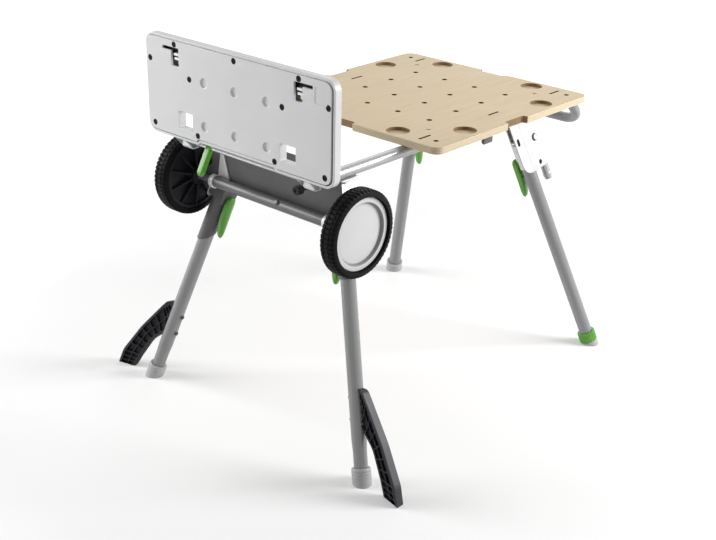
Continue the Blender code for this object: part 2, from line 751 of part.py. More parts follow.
def make_leg_tube(leg, foot_up, top_up):
    """Leg tube; a wheel-end tube is necked above its foot cap."""
    bore = LEG_RADIUS - LEG_WALL
    low, high = leg.at(foot_up), leg.at(top_up)
    if leg.front:
        neck_bore = NECK_RADIUS - LEG_WALL
        ring = [(LEG_RADIUS, high), (LEG_RADIUS, leg.at(NECK_TOP)), (NECK_RADIUS, leg.at(NECK_BOTTOM)),
                (NECK_RADIUS, low), (neck_bore, low), (neck_bore, leg.at(NECK_BOTTOM)),
                (bore, leg.at(NECK_TOP)), (bore, high)]
    else:
        ring = [(LEG_RADIUS, high), (LEG_RADIUS, low), (bore, low), (bore, high)]
    return turned(leg.node("tube"), ring, SILVER, LEG_SIDES, leg.empty, FLAT, (0, leg.axis_y, 0))


def floor_cut(piece, height):
    """Cuts a foot off level at this height above the floor."""
    far = LENGTH
    cut(piece, block((-far, -far, -far), (far, far, height)))


def make_foot_cap(leg):
    """Pale cap over the leg's end, cut level where it stands on the floor."""
    socket = (NECK_RADIUS if leg.front else LEG_RADIUS) + SEAT_GAP
    outer = socket + FOOT_CAP_WALL
    top, floor = leg.at(FOOT_CAP_HEIGHT), leg.at(-outer)
    inside = leg.at(TUBE_FOOT) - SEAT_GAP
    profile = [(0.0, inside), (socket, inside), (socket, top), (outer, top), (outer, floor),
               (0.0, floor)]
    cap = lathe_solid(leg.node("cap"), profile, PALE, LEG_SIDES, leg.empty, FLAT,
                      (0, leg.axis_y, 0))
    floor_cut(cap, 0.0)


def make_adjuster(leg):
    """Green ring on a threaded stem, and the foot that it drives out of the leg."""
    at = Matrix.Translation((0, leg.axis_y, 0))
    empty = pivot_empty("adjuster_pivot", leg.frame @ at)
    stem = LEG_RADIUS - LEG_WALL - SEAT_GAP
    low = leg.at(ADJUSTER_FOOT_HEIGHT) + SEAT_GAP
    high = low + ADJUSTER_RING_HEIGHT
    outer = LEG_RADIUS + ADJUSTER_RING_WALL
    hole = stem + SEAT_GAP
    ring = rounded([(hole, high, 0), (outer, high, 0.002), (outer, low, 0.002), (hole, low, 0)], 2)
    turned("adjuster_ring", ring, GREEN, LEG_SIDES, empty)
    foot = outer - 0.001
    top = leg.at(ADJUSTER_FOOT_HEIGHT)
    profile = [(0.0, top + ADJUSTER_STEM_LENGTH), (stem, top + ADJUSTER_STEM_LENGTH), (stem, top),
               (foot, top), (foot, leg.at(-foot)), (0.0, leg.at(-foot))]
    made = lathe_solid("adjuster_foot", profile, PALE, LEG_SIDES, empty)
    floor_cut(made, 0.0)


def lever_lug(leg, piece):
    """Lug with a pin hole that carries the leg's lever on its inner side."""
    inward = -leg.out
    z = -LEVER_DOWN
    root = LEG_RADIUS + SEAT_GAP + SOCKET_WALL / 2 if leg.front else LEG_RADIUS - LEG_WALL / 2
    x0, x1 = sorted((inward * root, inward * (LEVER_OUT + LUG_END)))
    y = leg.axis_y
    weld(piece, block((x0, y - LUG_WIDTH / 2, z - LUG_HALF_HEIGHT),
                      (x1, y + LUG_WIDTH / 2, z + LUG_HALF_HEIGHT)), leg.empty)
    cut(piece, cylinder(LEVER_PIN_RADIUS + RUN_GAP, (inward * LEVER_OUT, y - LUG_WIDTH, z),
                        (inward * LEVER_OUT, y + LUG_WIDTH, z)), leg.empty)


def make_front_socket(leg):
    """Dark sleeve over the leg's top, with the pivot eye on its axis."""
    low = -FRONT_SOCKET_LENGTH
    socket = solid(leg.node("socket"), cylinder(SOCKET_RADIUS, (0, 0, low), (0, 0, 0), LEG_SIDES), DARK,
                   leg.empty)
    weld(socket, cylinder(SOCKET_RADIUS, (-EYE_HALF, 0, 0), (EYE_HALF, 0, 0), LEG_SIDES), leg.empty)
    lever_lug(leg, socket)
    cut(socket, cylinder(LEG_RADIUS + SEAT_GAP, (0, 0, low - LEG_RADIUS), (0, 0, -SOCKET_CLOSED),
                         LEG_SIDES), leg.empty)
    cut(socket, cylinder(PIN_RADIUS + RUN_GAP, (-2 * EYE_HALF, 0, 0), (2 * EYE_HALF, 0, 0)), leg.empty)


def make_rear_knuckle(leg):
    """Short sleeve over the leg's top with an eye beside it for the offset pivot."""
    y = leg.axis_y
    closed = -EYE_RADIUS
    knuckle = solid(leg.node("knuckle"), cylinder(SOCKET_RADIUS, (0, y, -REAR_SOCKET_LENGTH),
                                                  (0, y, 0), LEG_SIDES), DARK, leg.empty)
    inner = y - SOCKET_RADIUS * 0.5
    soft = EYE_RADIUS * 0.25
    outline = rounded([(inner, soft, soft), (EYE_RADIUS, EYE_RADIUS, EYE_RADIUS * 0.98),
                       (EYE_RADIUS, -EYE_RADIUS, EYE_RADIUS * 0.98),
                       (inner, -3 * EYE_RADIUS, soft)])
    weld(knuckle, slab([outline], 2 * EYE_HALF, UPRIGHT_YZ), leg.empty)
    cut(knuckle, cylinder(LEG_RADIUS + SEAT_GAP, (0, y, -REAR_SOCKET_LENGTH - LEG_RADIUS),
                          (0, y, closed), LEG_SIDES), leg.empty)
    cut(knuckle, cylinder(PIN_RADIUS + RUN_GAP, (-2 * EYE_HALF, 0, 0), (2 * EYE_HALF, 0, 0)), leg.empty)
    return closed


def cheek_loops(inside, drop, slant, web_outer):
    """A cheek's outline and its pin hole, in the leg's splay and upward directions."""
    narrow = min(web_outer + inside, drop) * 0.48
    outline = rounded([(-inside, BRACKET_RISE, 0), (-inside, -drop, narrow),
                       (web_outer, -drop - slant, narrow * 0.45), (web_outer, BRACKET_RISE, 0)])
    return [outline, circle(0, 0, PIN_RADIUS + RUN_GAP)]


def make_bracket(leg, drop, inside, top, material):
    """Channel that holds a leg's pivot: two cheeks, a web on the splayed side, a top plate."""
    web_inner = leg.axis_y + SOCKET_RADIUS + WEB_CLEARANCE if leg.front else EYE_RADIUS + WEB_CLEARANCE
    web_outer = web_inner + CHEEK_THICK
    if leg.front:
        outer = inner = cheek_loops(inside, drop, 0.0, web_outer)
    else:
        outer = cheek_loops(inside, drop, REAR_CHEEK_SLANT, web_outer)
        outer.append(rectangle(CHEEK_SLOT_WIDTH, CHEEK_SLOT_LENGTH, CHEEK_SLOT_WIDTH * 0.45,
                               -CHEEK_SLOT_INSIDE, CHEEK_SLOT_UP))
        outer.append(circle(-CHEEK_HOLE_INSIDE, -CHEEK_HOLE_DOWN, CHEEK_HOLE_RADIUS))
        inner = cheek_loops(REAR_INNER_INSIDE, REAR_INNER_DROP, 0.0, web_outer)
    reach = CHEEK_INNER + CHEEK_THICK / 2
    bracket = solid(leg.node("bracket"), slab(outer, CHEEK_THICK, UPRIGHT_YZ, (leg.out * reach, 0, 0)),
                    material, None)
    bracket.matrix_world = leg.frame
    weld(bracket, slab(inner, CHEEK_THICK, UPRIGHT_YZ, (-leg.out * reach, 0, 0)), leg.empty)
    web_bottom = -drop + min(web_outer + inside, drop) * 0.24
    weld(bracket, block((-reach, web_inner, web_bottom), (reach, web_outer, BRACKET_RISE)), leg.empty)
    if not leg.front:
        y = web_outer + POST_RADIUS - CHEEK_THICK / 2
        weld(bracket, cylinder(POST_RADIUS, (0, y, -POST_DROP), (0, y, -POST_DROP + POST_LENGTH),
                               SMALL_SIDES), leg.empty)
    side = 1 if leg.frame.translation.x > 0 else -1
    x0, x1 = sorted((side * BRACKET_TOP_INNER, side * (RAIL_X + RAIL_RADIUS)))
    middle = leg.frame.translation.y + leg.frame.col[1].y * (web_outer - inside) / 2
    half = BRACKET_TOP_DEPTH / 2 if not leg.front else (web_outer + inside) / 2
    weld(bracket, block((x0, middle - half, top - BRACKET_TOP_THICK), (x1, middle + half, top)))
    far = LENGTH
    cut(bracket, block((-far, -far, top), (far, far, far)))


def make_pin(leg):
    """Pivot pin with a head outside each cheek."""
    face = CHEEK_INNER + CHEEK_THICK + SEAT_GAP
    end = face + PIN_HEAD_DEPTH
    profile = [(0.0, end), (PIN_HEAD_RADIUS, end), (PIN_HEAD_RADIUS, face), (PIN_RADIUS, face),
               (PIN_RADIUS, -face), (PIN_HEAD_RADIUS, -face), (PIN_HEAD_RADIUS, -end), (0.0, -end)]
    pin = lathe_solid(leg.node("pin"), profile, STEEL, SMALL_SIDES)
    pin.matrix_world = leg.frame @ ALONG_X


def make_lever(leg):
    """Green lever on the inner side of a leg, slotted over its lug."""
    inward = -leg.out
    place = Matrix.Translation((inward * LEVER_OUT, leg.axis_y, -LEVER_DOWN))
    empty = pivot_empty(f"{leg.name}_lever_{leg.side_name}_pivot", leg.frame @ place)
    back = CHEEK_INNER + CHEEK_THICK + 2 * RUN_GAP - LEVER_OUT
    tip = LEVER_FLARE + LEVER_THICK
    corners = [(back, LEVER_UPPER, 0.002), (back + LEVER_THICK, LEVER_UPPER, 0.004),
               (LEVER_THICK + 0.001, 0.0, 0.060), (tip, -LEVER_LOWER, 0.004),
               (LEVER_FLARE, -LEVER_LOWER, 0.004), (-0.002, -0.012, 0.020), (-0.003, 0.006, 0.004),
               (back, 0.014, 0.004)]
    outline = [(inward * x, z) for x, z in rounded(corners)]
    lever = solid(leg.node("lever"), slab([outline], LEVER_WIDTH, UPRIGHT_XZ), GREEN, empty)
    slot_half = LUG_WIDTH / 2 + RUN_GAP
    slot_rise = LUG_HALF_HEIGHT + 0.002
    x0, x1 = sorted((-inward * LEVER_OUT, inward * (LUG_END + 0.0015)))
    cut(lever, block((x0, -slot_half, -slot_rise), (x1, slot_half, slot_rise)), empty)
    reach = slot_half + 0.002
    weld(lever, cylinder(LEVER_PIN_RADIUS, (0, -reach, 0), (0, reach, 0), 12), empty)


def make_outrigger(leg):
    """Black ribbed stabiliser bolted to the outer side of a wheel-end leg."""
    foot = leg.at(0.0)
    corners = [tuple(OUTRIGGER_HEIGHT * share for share in corner) for corner in OUTRIGGER_SHARES]
    outline = [(leg.out * n, foot + s) for n, s in rounded(corners)]
    body = slab([outline], OUTRIGGER_THICK, UPRIGHT_XZ, (0, OUTRIGGER_FORWARD, 0))
    rigger = solid(leg.node("outrigger"), body, BLACK, leg.empty)
    cut(rigger, cylinder(LEG_RADIUS + SEAT_GAP, (0, 0, foot - LEG_RADIUS), (0, 0, 0), LEG_SIDES), leg.empty)
    floor_cut(rigger, OUTRIGGER_FLOOR_GAP)
    start, end = (Vector((leg.out * n * OUTRIGGER_HEIGHT, 0, foot + s * OUTRIGGER_HEIGHT))
                  for n, s in POCKET_LINE_SHARES)
    run = end - start
    pitch = run.length / OUTRIGGER_POCKETS
    lean = Vector((0, 0, -1)).rotation_difference(run).to_matrix().to_4x4()
    face = OUTRIGGER_FORWARD + OUTRIGGER_THICK / 2
    cells = []
    for k in range(OUTRIGGER_POCKETS):
        middle = start + run * ((k + 0.5) / OUTRIGGER_POCKETS)
        half_w, half_h = RIB_POCKET_WIDTH / 2, pitch * RIB_PITCH_SHARE / 2
        cell = block((-half_w, face - RIB_POCKET_DEPTH, -half_h), (half_w, face * 2, half_h))
        cell.transform(Matrix.Translation(middle) @ lean)
        cells.append(cell)
    cut(rigger, group(cells), leg.empty)
    for number, up in enumerate((OUTRIGGER_BOLT_LOW, OUTRIGGER_BOLT_HIGH), 1):
        z = leg.at(up)
        tip = leg.out * OUTRIGGER_BOLT_REACH
        hole = cylinder(OUTRIGGER_BOLT_RADIUS + SEAT_GAP, (-tip, 0, z), (tip + leg.out * SEAT_GAP, 0, z), 12)
        cut(rigger, hole, leg.empty)
        cut(bpy.data.objects[leg.node("tube")], hole, leg.empty)
        seat = LEG_RADIUS + SEAT_GAP
        head = seat + OUTRIGGER_BOLT_HEAD * 0.6
        profile = [(0.0, head), (OUTRIGGER_BOLT_HEAD, head), (OUTRIGGER_BOLT_HEAD, seat),
                   (OUTRIGGER_BOLT_RADIUS, seat), (OUTRIGGER_BOLT_RADIUS, -OUTRIGGER_BOLT_REACH),
                   (0.0, -OUTRIGGER_BOLT_REACH)]
        turn = Matrix.Rotation(-leg.out * pi / 2, 4, "Y")
        lathe_solid(leg.node(f"outrigger_bolt_{number}"), profile, STEEL, 12, leg.empty, turn, (0, 0, z))


def plate_outline():
    """The toe plate's outline seen from the front, about its middle."""
    half_w, half_h = PLATE_WIDTH / 2, PLATE_HEIGHT / 2
    step = PLATE_NOTCH_HALF + PLATE_NOTCH_HEIGHT
    return rounded([(-half_w, -half_h, PLATE_CORNER), (-step, -half_h, 0),
                    (-PLATE_NOTCH_HALF, -half_h + PLATE_NOTCH_HEIGHT, 0),
                    (PLATE_NOTCH_HALF, -half_h + PLATE_NOTCH_HEIGHT, 0), (step, -half_h, 0),
                    (half_w, -half_h, PLATE_CORNER), (half_w, half_h, PLATE_CORNER),
                    (-half_w, half_h, PLATE_CORNER)])


def make_plate():
    """Toe plate: front panel with latch openings and dimples, ribbed frame, hinge lugs."""
    hinge = Matrix.Translation((0, behind(HINGE_BEHIND), RAIL_Z))
    empty = pivot_empty("toe_plate_pivot", hinge)
    middle = PLATE_MIDDLE_Z - RAIL_Z
    low = -PLATE_HEIGHT / 2
    loops = []
    for side in (-1, 1):
        loops.append(rectangle(*WINDOW_SIZE, 0.002, side * WINDOW_X, low + WINDOW_UP))
        inner, outer = LATCH_X - LATCH_BAR / 2, LATCH_X + LATCH_BAR / 2
        elbow = inner + LATCH_STEM
        z = low + LATCH_UP
        corners = [(inner, z - LATCH_STEM_DROP), (elbow, z - LATCH_STEM_DROP), (elbow, z), (outer, z),
                   (outer, z + LATCH_BAR_HEIGHT), (inner, z + LATCH_BAR_HEIGHT)]
        loops.append([(side * x, y) for x, y in corners])
    face = -HINGE_BEHIND
    centre = (0, face + PANEL_THICK / 2, middle)
    panel = solid("plate_panel", slab([plate_outline()], PANEL_THICK, UPRIGHT_XZ, centre), PALE, empty)
    cut(panel, group([slab([loop], 3 * PANEL_THICK, UPRIGHT_XZ, centre) for loop in loops]), empty)
    dimples = [cylinder(DIMPLE_RADIUS, (x, face - DIMPLE_DEPTH, middle + low + up),
                        (x, face + DIMPLE_DEPTH, middle + low + up), 16)
               for x in (-DIMPLE_X, 0, DIMPLE_X) for up in DIMPLE_UP]
    cut(panel, group(dimples), empty)
    make_plate_frame(empty, middle, face + PANEL_THICK + SEAT_GAP)
    make_latch_hooks(empty, middle + low, face + PANEL_THICK + SEAT_GAP)


def make_plate_frame(empty, middle, front):
    """Rim and ribs behind the panel, with the lugs that turn on the hinge rod."""
    loops = []
    span = PLATE_WIDTH - 2 * FRAME_RIM
    rows = ((-PLATE_HEIGHT / 2 + PLATE_NOTCH_HEIGHT + FRAME_RIM, -FRAME_RIB / 2),
            (FRAME_RIB / 2, PLATE_HEIGHT / 2 - FRAME_RIM))
    pitch = span / FRAME_COLUMNS
    for k in range(FRAME_COLUMNS):
        x = -span / 2 + (k + 0.5) * pitch
        for z0, z1 in rows:
            loops.append(rectangle(pitch - FRAME_RIB, z1 - z0, FRAME_CELL_CORNER, x, (z0 + z1) / 2))
    centre = (0, front + FRAME_THICK / 2, middle)
    frame = solid("plate_frame", slab([plate_outline()], FRAME_THICK, UPRIGHT_XZ, centre), PALE, empty)
    cut(frame, group([slab([loop], 3 * FRAME_THICK, UPRIGHT_XZ, centre) for loop in loops]), empty)
    bottom = middle - PLATE_HEIGHT / 2
    top = bottom + FRAME_RIM * 0.5
    r = HINGE_LUG_RADIUS
    back = front + FRAME_THICK
    near, far = front + FRAME_THICK * 0.2, back - FRAME_THICK * 0.15
    outline = rounded([(near, top, 0), (near, bottom - 0.002, 0.002), (-r, -r, r * 0.9),
                       (r, -r, r * 0.9), (r, r, r * 0.9), (far, top, 0)])
    hole = circle(0, 0, HINGE_ROD_RADIUS + SEAT_GAP, 12)
    for side in (-1, 1):
        for edge in (-1, 1):
            x = side * RAIL_X + edge * (HINGE_BLOCK_WIDTH / 2 + RUN_GAP + HINGE_LUG_THICK / 2)
            weld(frame, slab([outline, hole], HINGE_LUG_THICK, UPRIGHT_YZ, (x, 0, 0)), empty)


def make_latch_hooks(empty, bottom, front):
    """Metal hook plates behind the two latch openings."""
    for name, side in SIDES:
        x = side * LATCH_X
        z = bottom + LATCH_UP
        half = LATCH_BAR / 2 + 0.004
        y0 = front
        hook = solid(f"latch_hook_{name}", block((x - half, y0, z - LATCH_STEM_DROP * 0.5),
                                                 (x + half, y0 + HOOK_THICK, z + 0.012)), STEEL, empty)
        tab_x = x - side * (LATCH_BAR / 2 - LATCH_STEM / 2)
        tab = LATCH_STEM / 2 - 0.003
        weld(hook, block((tab_x - tab, y0 - PANEL_THICK * 0.8, z - HOOK_TAB),
                         (tab_x + tab, y0 + HOOK_THICK / 2, z - HOOK_TAB + HOOK_THICK)), empty)


def make_hinge():
    """Blocks plugged into the rails' front ends, and the rod that the toe plate turns on."""
    y = behind(HINGE_BEHIND)
    end = behind(RAIL_START) - SEAT_GAP
    for name, side in SIDES:
        x = side * RAIL_X
        half_w, half_h = HINGE_BLOCK_WIDTH / 2, HINGE_BLOCK_HEIGHT / 2
        made = solid(f"hinge_block_{name}", block((x - half_w, y - HINGE_BLOCK_FRONT, RAIL_Z - half_h),
                                                  (x + half_w, end, RAIL_Z + half_h)), BRIGHT)
        weld(made, cylinder(RAIL_BORE - SEAT_GAP, (x, y + HINGE_ROD_RADIUS * 2, RAIL_Z),
                            (x, end + SPIGOT_LENGTH, RAIL_Z)))
        cut(made, cylinder(HINGE_ROD_RADIUS + SEAT_GAP, (x - half_w * 2, y, RAIL_Z),
                           (x + half_w * 2, y, RAIL_Z), 12))
    half = RAIL_X + HINGE_BLOCK_WIDTH / 2 + RUN_GAP + HINGE_LUG_THICK + HINGE_ROD_OVERHANG
    solid("hinge_rod", cylinder(HINGE_ROD_RADIUS, (-half, y, RAIL_Z), (half, y, RAIL_Z), 12), STEEL)


def make_plate_lever():
    """Green release lever that hangs from the hinge rod."""
    lean = Matrix.Rotation(-radians(PLATE_LEVER_TILT), 4, "X")
    place = Matrix.Translation((PLATE_LEVER_X, behind(HINGE_BEHIND), RAIL_Z))
    empty = pivot_empty("plate_lever_pivot", place @ lean)
    r = PLATE_LEVER_THICK * 0.6
    half = PLATE_LEVER_THICK / 2
    outline = rounded([(-r, r, r * 0.98), (-half, -PLATE_LEVER_LENGTH, half * 0.9),
                       (half, -PLATE_LEVER_LENGTH, half * 0.9), (r, r, r * 0.98)])
    hole = circle(0, 0, HINGE_ROD_RADIUS + SEAT_GAP, 12)
    solid("plate_lever", slab([outline, hole], PLATE_LEVER_WIDTH, UPRIGHT_YZ), GREEN, empty)


def make_buffer():
    """Black rubber buffer on a stem in front of the apron."""
    start = behind(BUFFER_FRONT)
    reach = behind(APRON_FACE) - SEAT_GAP - start
    head, edge = BUFFER_HEAD, 0.002
    profile = [(0.0, reach), (BUFFER_STEM, reach), (BUFFER_STEM, head), (BUFFER_RADIUS, head),
               (BUFFER_RADIUS, edge), (BUFFER_RADIUS - edge, 0.0), (0.0, 0.0)]
    lathe_solid("front_buffer", profile, BLACK, SMALL_SIDES, None, ALONG_Y, (BUFFER_X, start, BUFFER_HEIGHT))


def make_brace():
    """Cross brace under the rails, with a down-turned tab at each end."""
    y = behind(BRACE_BEHIND)
    half = RAIL_X + BRACE_END
    top = RAIL_BOTTOM - SEAT_GAP
    low = top - BRACE_HEIGHT
    tab = RAIL_X + TAB_TAPER
    foot = low - TAB_DROP
    outline = [(-half, top), (-half, foot), (-tab, foot + TAB_TAPER), (-tab, low), (tab, low),
               (tab, foot + TAB_TAPER), (half, foot), (half, top)]
    solid("cross_brace", slab([outline], BRACE_WIDTH, UPRIGHT_XZ, (0, y, 0)), DARK)


make_board()
make_board_screws()
make_rails()
make_handle()
make_apron()
make_axle()
make_wheels()
for front_leg in FRONT_LEGS:
    make_front_socket(front_leg)
    make_leg_tube(front_leg, TUBE_FOOT, front_leg.reach - SOCKET_CLOSED - SEAT_GAP)
    make_foot_cap(front_leg)
    make_outrigger(front_leg)
    make_bracket(front_leg, FRONT_CHEEK_DROP, FRONT_CHEEK_INSIDE, APRON_TOP - APRON_FLANGE - SEAT_GAP, DARK)
for rear_leg in REAR_LEGS:
    closed_at = make_rear_knuckle(rear_leg)
    adjusted = rear_leg is ADJUSTED_LEG
    foot_end = ADJUSTER_FOOT_HEIGHT + ADJUSTER_RING_HEIGHT + 2 * SEAT_GAP if adjusted else TUBE_FOOT
    lever_lug(rear_leg, make_leg_tube(rear_leg, foot_end, rear_leg.reach + closed_at - SEAT_GAP))
    if adjusted:
        make_adjuster(rear_leg)
    else:
        make_foot_cap(rear_leg)
    make_bracket(rear_leg, REAR_CHEEK_DROP, REAR_CHEEK_INSIDE, RAIL_BOTTOM - SEAT_GAP, BRIGHT)
for any_leg in LEGS:
    make_pin(any_leg)
    make_lever(any_leg)
make_plate()
make_hinge()
make_plate_lever()
make_buffer()
make_brace()
bpy.context.view_layer.update()
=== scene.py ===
# %% [markdown]
# # A folding saw stand, dressed for the camera
# The CAD model of the stand is loaded as a fixed frame. It has the right sizes and joints, but plain
# solids. This lesson gives each piece its rounded edges, pressed details and finish, one step at a time.

import bmesh
import bpy
import numpy as np
from mathutils import Matrix, Vector
from mathutils.geometry import delaunay_2d_cdt


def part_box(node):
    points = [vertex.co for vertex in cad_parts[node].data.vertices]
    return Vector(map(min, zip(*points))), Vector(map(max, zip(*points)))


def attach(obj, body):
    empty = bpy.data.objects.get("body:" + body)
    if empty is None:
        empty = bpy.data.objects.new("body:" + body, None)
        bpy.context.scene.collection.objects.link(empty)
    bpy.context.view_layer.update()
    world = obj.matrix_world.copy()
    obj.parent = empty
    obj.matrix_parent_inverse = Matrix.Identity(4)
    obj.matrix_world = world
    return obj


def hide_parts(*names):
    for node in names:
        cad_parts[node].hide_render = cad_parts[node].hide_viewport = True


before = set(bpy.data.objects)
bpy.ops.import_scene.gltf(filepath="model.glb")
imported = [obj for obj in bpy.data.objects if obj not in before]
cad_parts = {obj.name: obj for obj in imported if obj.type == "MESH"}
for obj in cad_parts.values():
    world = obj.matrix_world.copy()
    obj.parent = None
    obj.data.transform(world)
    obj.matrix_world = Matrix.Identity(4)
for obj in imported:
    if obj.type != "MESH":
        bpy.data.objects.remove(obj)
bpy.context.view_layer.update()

# %% [markdown]
# ## Places
# A sheet or a turned piece is easiest to draw lying flat, so every shape is worked out in its own small
# frame and carried to its place at the end. A place is four rows: three axes and an origin. Local points
# times the axes, plus the origin, are world points. That keeps every object at the origin, unturned.

# %% Places in the stand
SIDES = (("left", -1), ("right", 1))
WORLD = np.eye(4, 3)


def box(node):
    """Middle and half size of a CAD node, from its lowest and highest corner to a thousandth of a mm."""
    low, high = np.round(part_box(node), 6)
    return (low + high) / 2, (high - low) / 2


PANEL, PANEL_HALF = box("plate_panel")
FACE_Y = PANEL[1] - PANEL_HALF[1]


def behind(distance):
    """World Y of a place this far behind the toe plate's face."""
    return FACE_Y + distance


def unit(vectors):
    """Each vector divided by its own length."""
    return vectors / np.linalg.norm(vectors, axis=-1, keepdims=True)


def moved(place, x=0.0, y=0.0, z=0.0):
    """The same axes, with the origin moved by a local x, y and z."""
    return np.vstack([place[:3], place[3] + np.array([x, y, z]) @ place[:3]])


def placed(patches, place):
    """Local points times the place's axes, plus its origin."""
    return [(points @ place[:3] + place[3], faces, marks) for points, faces, marks in patches]


def standing(*origin):
    """Axes X, Z and Y: a flat drawing that stands up across the stand."""
    return np.vstack([WORLD[[0, 2, 1]], origin])


def lying(*origin):
    """Axes Y, Z and X: a turned piece that lies along X."""
    return np.vstack([WORLD[[1, 2, 0]], origin])


# %% [markdown]
# ## Surfaces from arrays
# Blender can extrude and lathe by hand, but a surface that is a formula stays exact and easy to change.
# Three formulas make nearly everything here: a profile turned round an axis, a ring carried along a path,
# and a sheet whose outline is moved inwards along a quarter round to give soft edges.

# %% Grids, turned pieces and tubes
def quads(points, loop_rows=False, loop_columns=False, mark=0):
    """Joins each grid point with its next row and column; a looped way joins its end to its start."""
    rows, columns = points.shape[:2]
    i = np.arange(rows if loop_rows else rows - 1)[:, None]
    j = np.arange(columns if loop_columns else columns - 1)[None, :]
    below, beside = (i + 1) % rows, (j + 1) % columns
    faces = np.stack([i * columns + j, i * columns + beside, below * columns + beside,
                      below * columns + j], -1)
    marks = np.broadcast_to(mark, faces.shape[:2]).ravel()
    return points.reshape(-1, 3), faces.reshape(-1, 4), marks


def turned(profile, sides=48, loop=False, mark=0, swell=None):
    """Radius times (cos a, sin a) and height, for each profile point and each angle a.

    A swell is added to the radius, and depends on the angle and the radius.
    """
    a = np.linspace(0, 2 * np.pi, sides, endpoint=False)
    r, h = np.asarray(profile, float).T[:, :, None]
    r = r + (swell(a, r) if swell else 0 * a)
    points = np.stack([r * np.cos(a), r * np.sin(a), h + 0 * a], -1)
    return [quads(points, loop, True, mark)]


def swept(path, radius, square_to, bore=None, sides=32):
    """A ring at each path point, in the two directions square to the path there."""
    path = np.asarray(path, float)
    along = unit(np.gradient(path, axis=0))
    side = unit(np.cross(along, square_to))
    up = np.cross(side, along)
    a = np.linspace(0, 2 * np.pi, sides, endpoint=False)[None, :, None]
    spoke = side[:, None] * np.cos(a) + up[:, None] * np.sin(a)
    outer = path[:, None] + np.reshape(radius, (-1, 1, 1)) * spoke
    if bore is None:
        ends = path[[0, -1], None] + 0 * spoke[:2]
        return [quads(np.concatenate([ends[:1], outer, ends[1:]]), False, True)]
    inner = path[:, None] + bore * spoke
    return [quads(np.concatenate([outer, inner[::-1]]), True, True)]


# %% Rounded outlines
def rounded(corners, radii, steps=6):
    """Each corner becomes an arc tangent to its two sides.

    The arc's middle lies on the corner's bisector, at radius over the sine of half the corner's angle.
    """
    here = np.asarray(corners, float)
    radius = np.broadcast_to(np.asarray(radii, float), len(here))[:, None]
    before, after = unit(np.roll(here, 1, 0) - here), unit(np.roll(here, -1, 0) - here)
    half = np.arccos(np.clip((before * after).sum(1, keepdims=True), -1, 1)) / 2
    middle = here + unit(before + after) * radius / np.sin(half)
    spoke = here + before * radius / np.tan(half) - middle
    other = here + after * radius / np.tan(half) - middle
    sweep = np.pi - 2 * half
    square = (other - spoke * np.cos(sweep)) / np.sin(sweep)
    angle = sweep[:, None] * np.linspace(0, 1, steps + 1)[None, :, None]
    arcs = middle[:, None] + spoke[:, None] * np.cos(angle) + square[:, None] * np.sin(angle)
    points = arcs.reshape(-1, here.shape[1])
    return points[np.linalg.norm(points - np.roll(points, 1, 0), axis=1) > 1e-7]


def circle(x, y, radius, sides=32):
    """Centre plus radius times (cos a, sin a)."""
    a = np.linspace(0, 2 * np.pi, sides, endpoint=False)
    return np.stack([x + radius * np.cos(a), y + radius * np.sin(a)], 1)


def star(x, y, radius, points=6, depth=0.22):
    """A driver recess: a circle whose radius swings by a share of itself with the angle."""
    a = np.linspace(0, 2 * np.pi, points * 6, endpoint=False)
    r = radius * (1 - depth + depth * np.cos(points * a))
    return np.stack([x + r * np.cos(a), y + r * np.sin(a)], 1)


def box_loop(x0, y0, x1, y1, radius=0.0):
    """A rectangle between two corners, with round corners."""
    return rounded([(x0, y0), (x1, y0), (x1, y1), (x0, y1)], radius)


# %% Sheets with soft edges
def facing(loop, turn):
    """The loop run anticlockwise for turn 1 and clockwise for -1, by the sign of its area."""
    loop = np.asarray(loop, float)
    nxt = np.roll(loop, -1, 0)
    area = np.sum(loop[:, 0] * nxt[:, 1] - loop[:, 1] * nxt[:, 0])
    return loop if area * turn > 0 else loop[::-1]


def mitre(loop):
    """Sum of the left-hand normals of a point's two sides, over one plus their dot product."""
    ahead = unit(np.roll(loop, -1, 0) - loop)
    left = np.stack([-ahead[:, 1], ahead[:, 0]], 1)
    back = np.roll(left, 1, 0)
    return (left + back) / np.maximum(1 + (left * back).sum(1, keepdims=True), 0.3)


def inset(loop, distance):
    """The outline moved inwards by a distance."""
    loop = facing(loop, 1)
    return loop + distance * mitre(loop)


def wall(loop, low, high, edge, mark, foot=1, steps=3):
    """The loop at each height of a side: inset and height share one angle in each quarter round."""
    t = np.linspace(0, np.pi / 2, steps + 1)
    inwards = edge * np.concatenate([foot * (1 - np.sin(t)), 1 - np.cos(t)])
    height = np.concatenate([low + edge * (1 - np.cos(t)), high - edge * (1 - np.sin(t))])
    rows = loop + inwards[:, None, None] * mitre(loop)
    height = np.broadcast_to(height[:, None, None], rows.shape[:2] + (1,))
    return quads(np.concatenate([rows, height], -1), False, True, mark), rows[0], rows[-1]


def inside(spots, loops):
    """Even-odd rule: a spot is inside if a ray to the right crosses the loops an odd number of times."""
    odd = np.zeros(len(spots), bool)
    x, y = spots[:, :1], spots[:, 1:]
    for loop in loops:
        (x0, y0), (x1, y1) = loop.T, np.roll(loop, -1, 0).T
        passes = (y0 > y) != (y1 > y)
        cross = x0 + (y - y0) * (x1 - x0) / np.where(y1 == y0, 1, y1 - y0)
        odd ^= (passes & (x < cross)).sum(1) % 2 == 1
    return odd


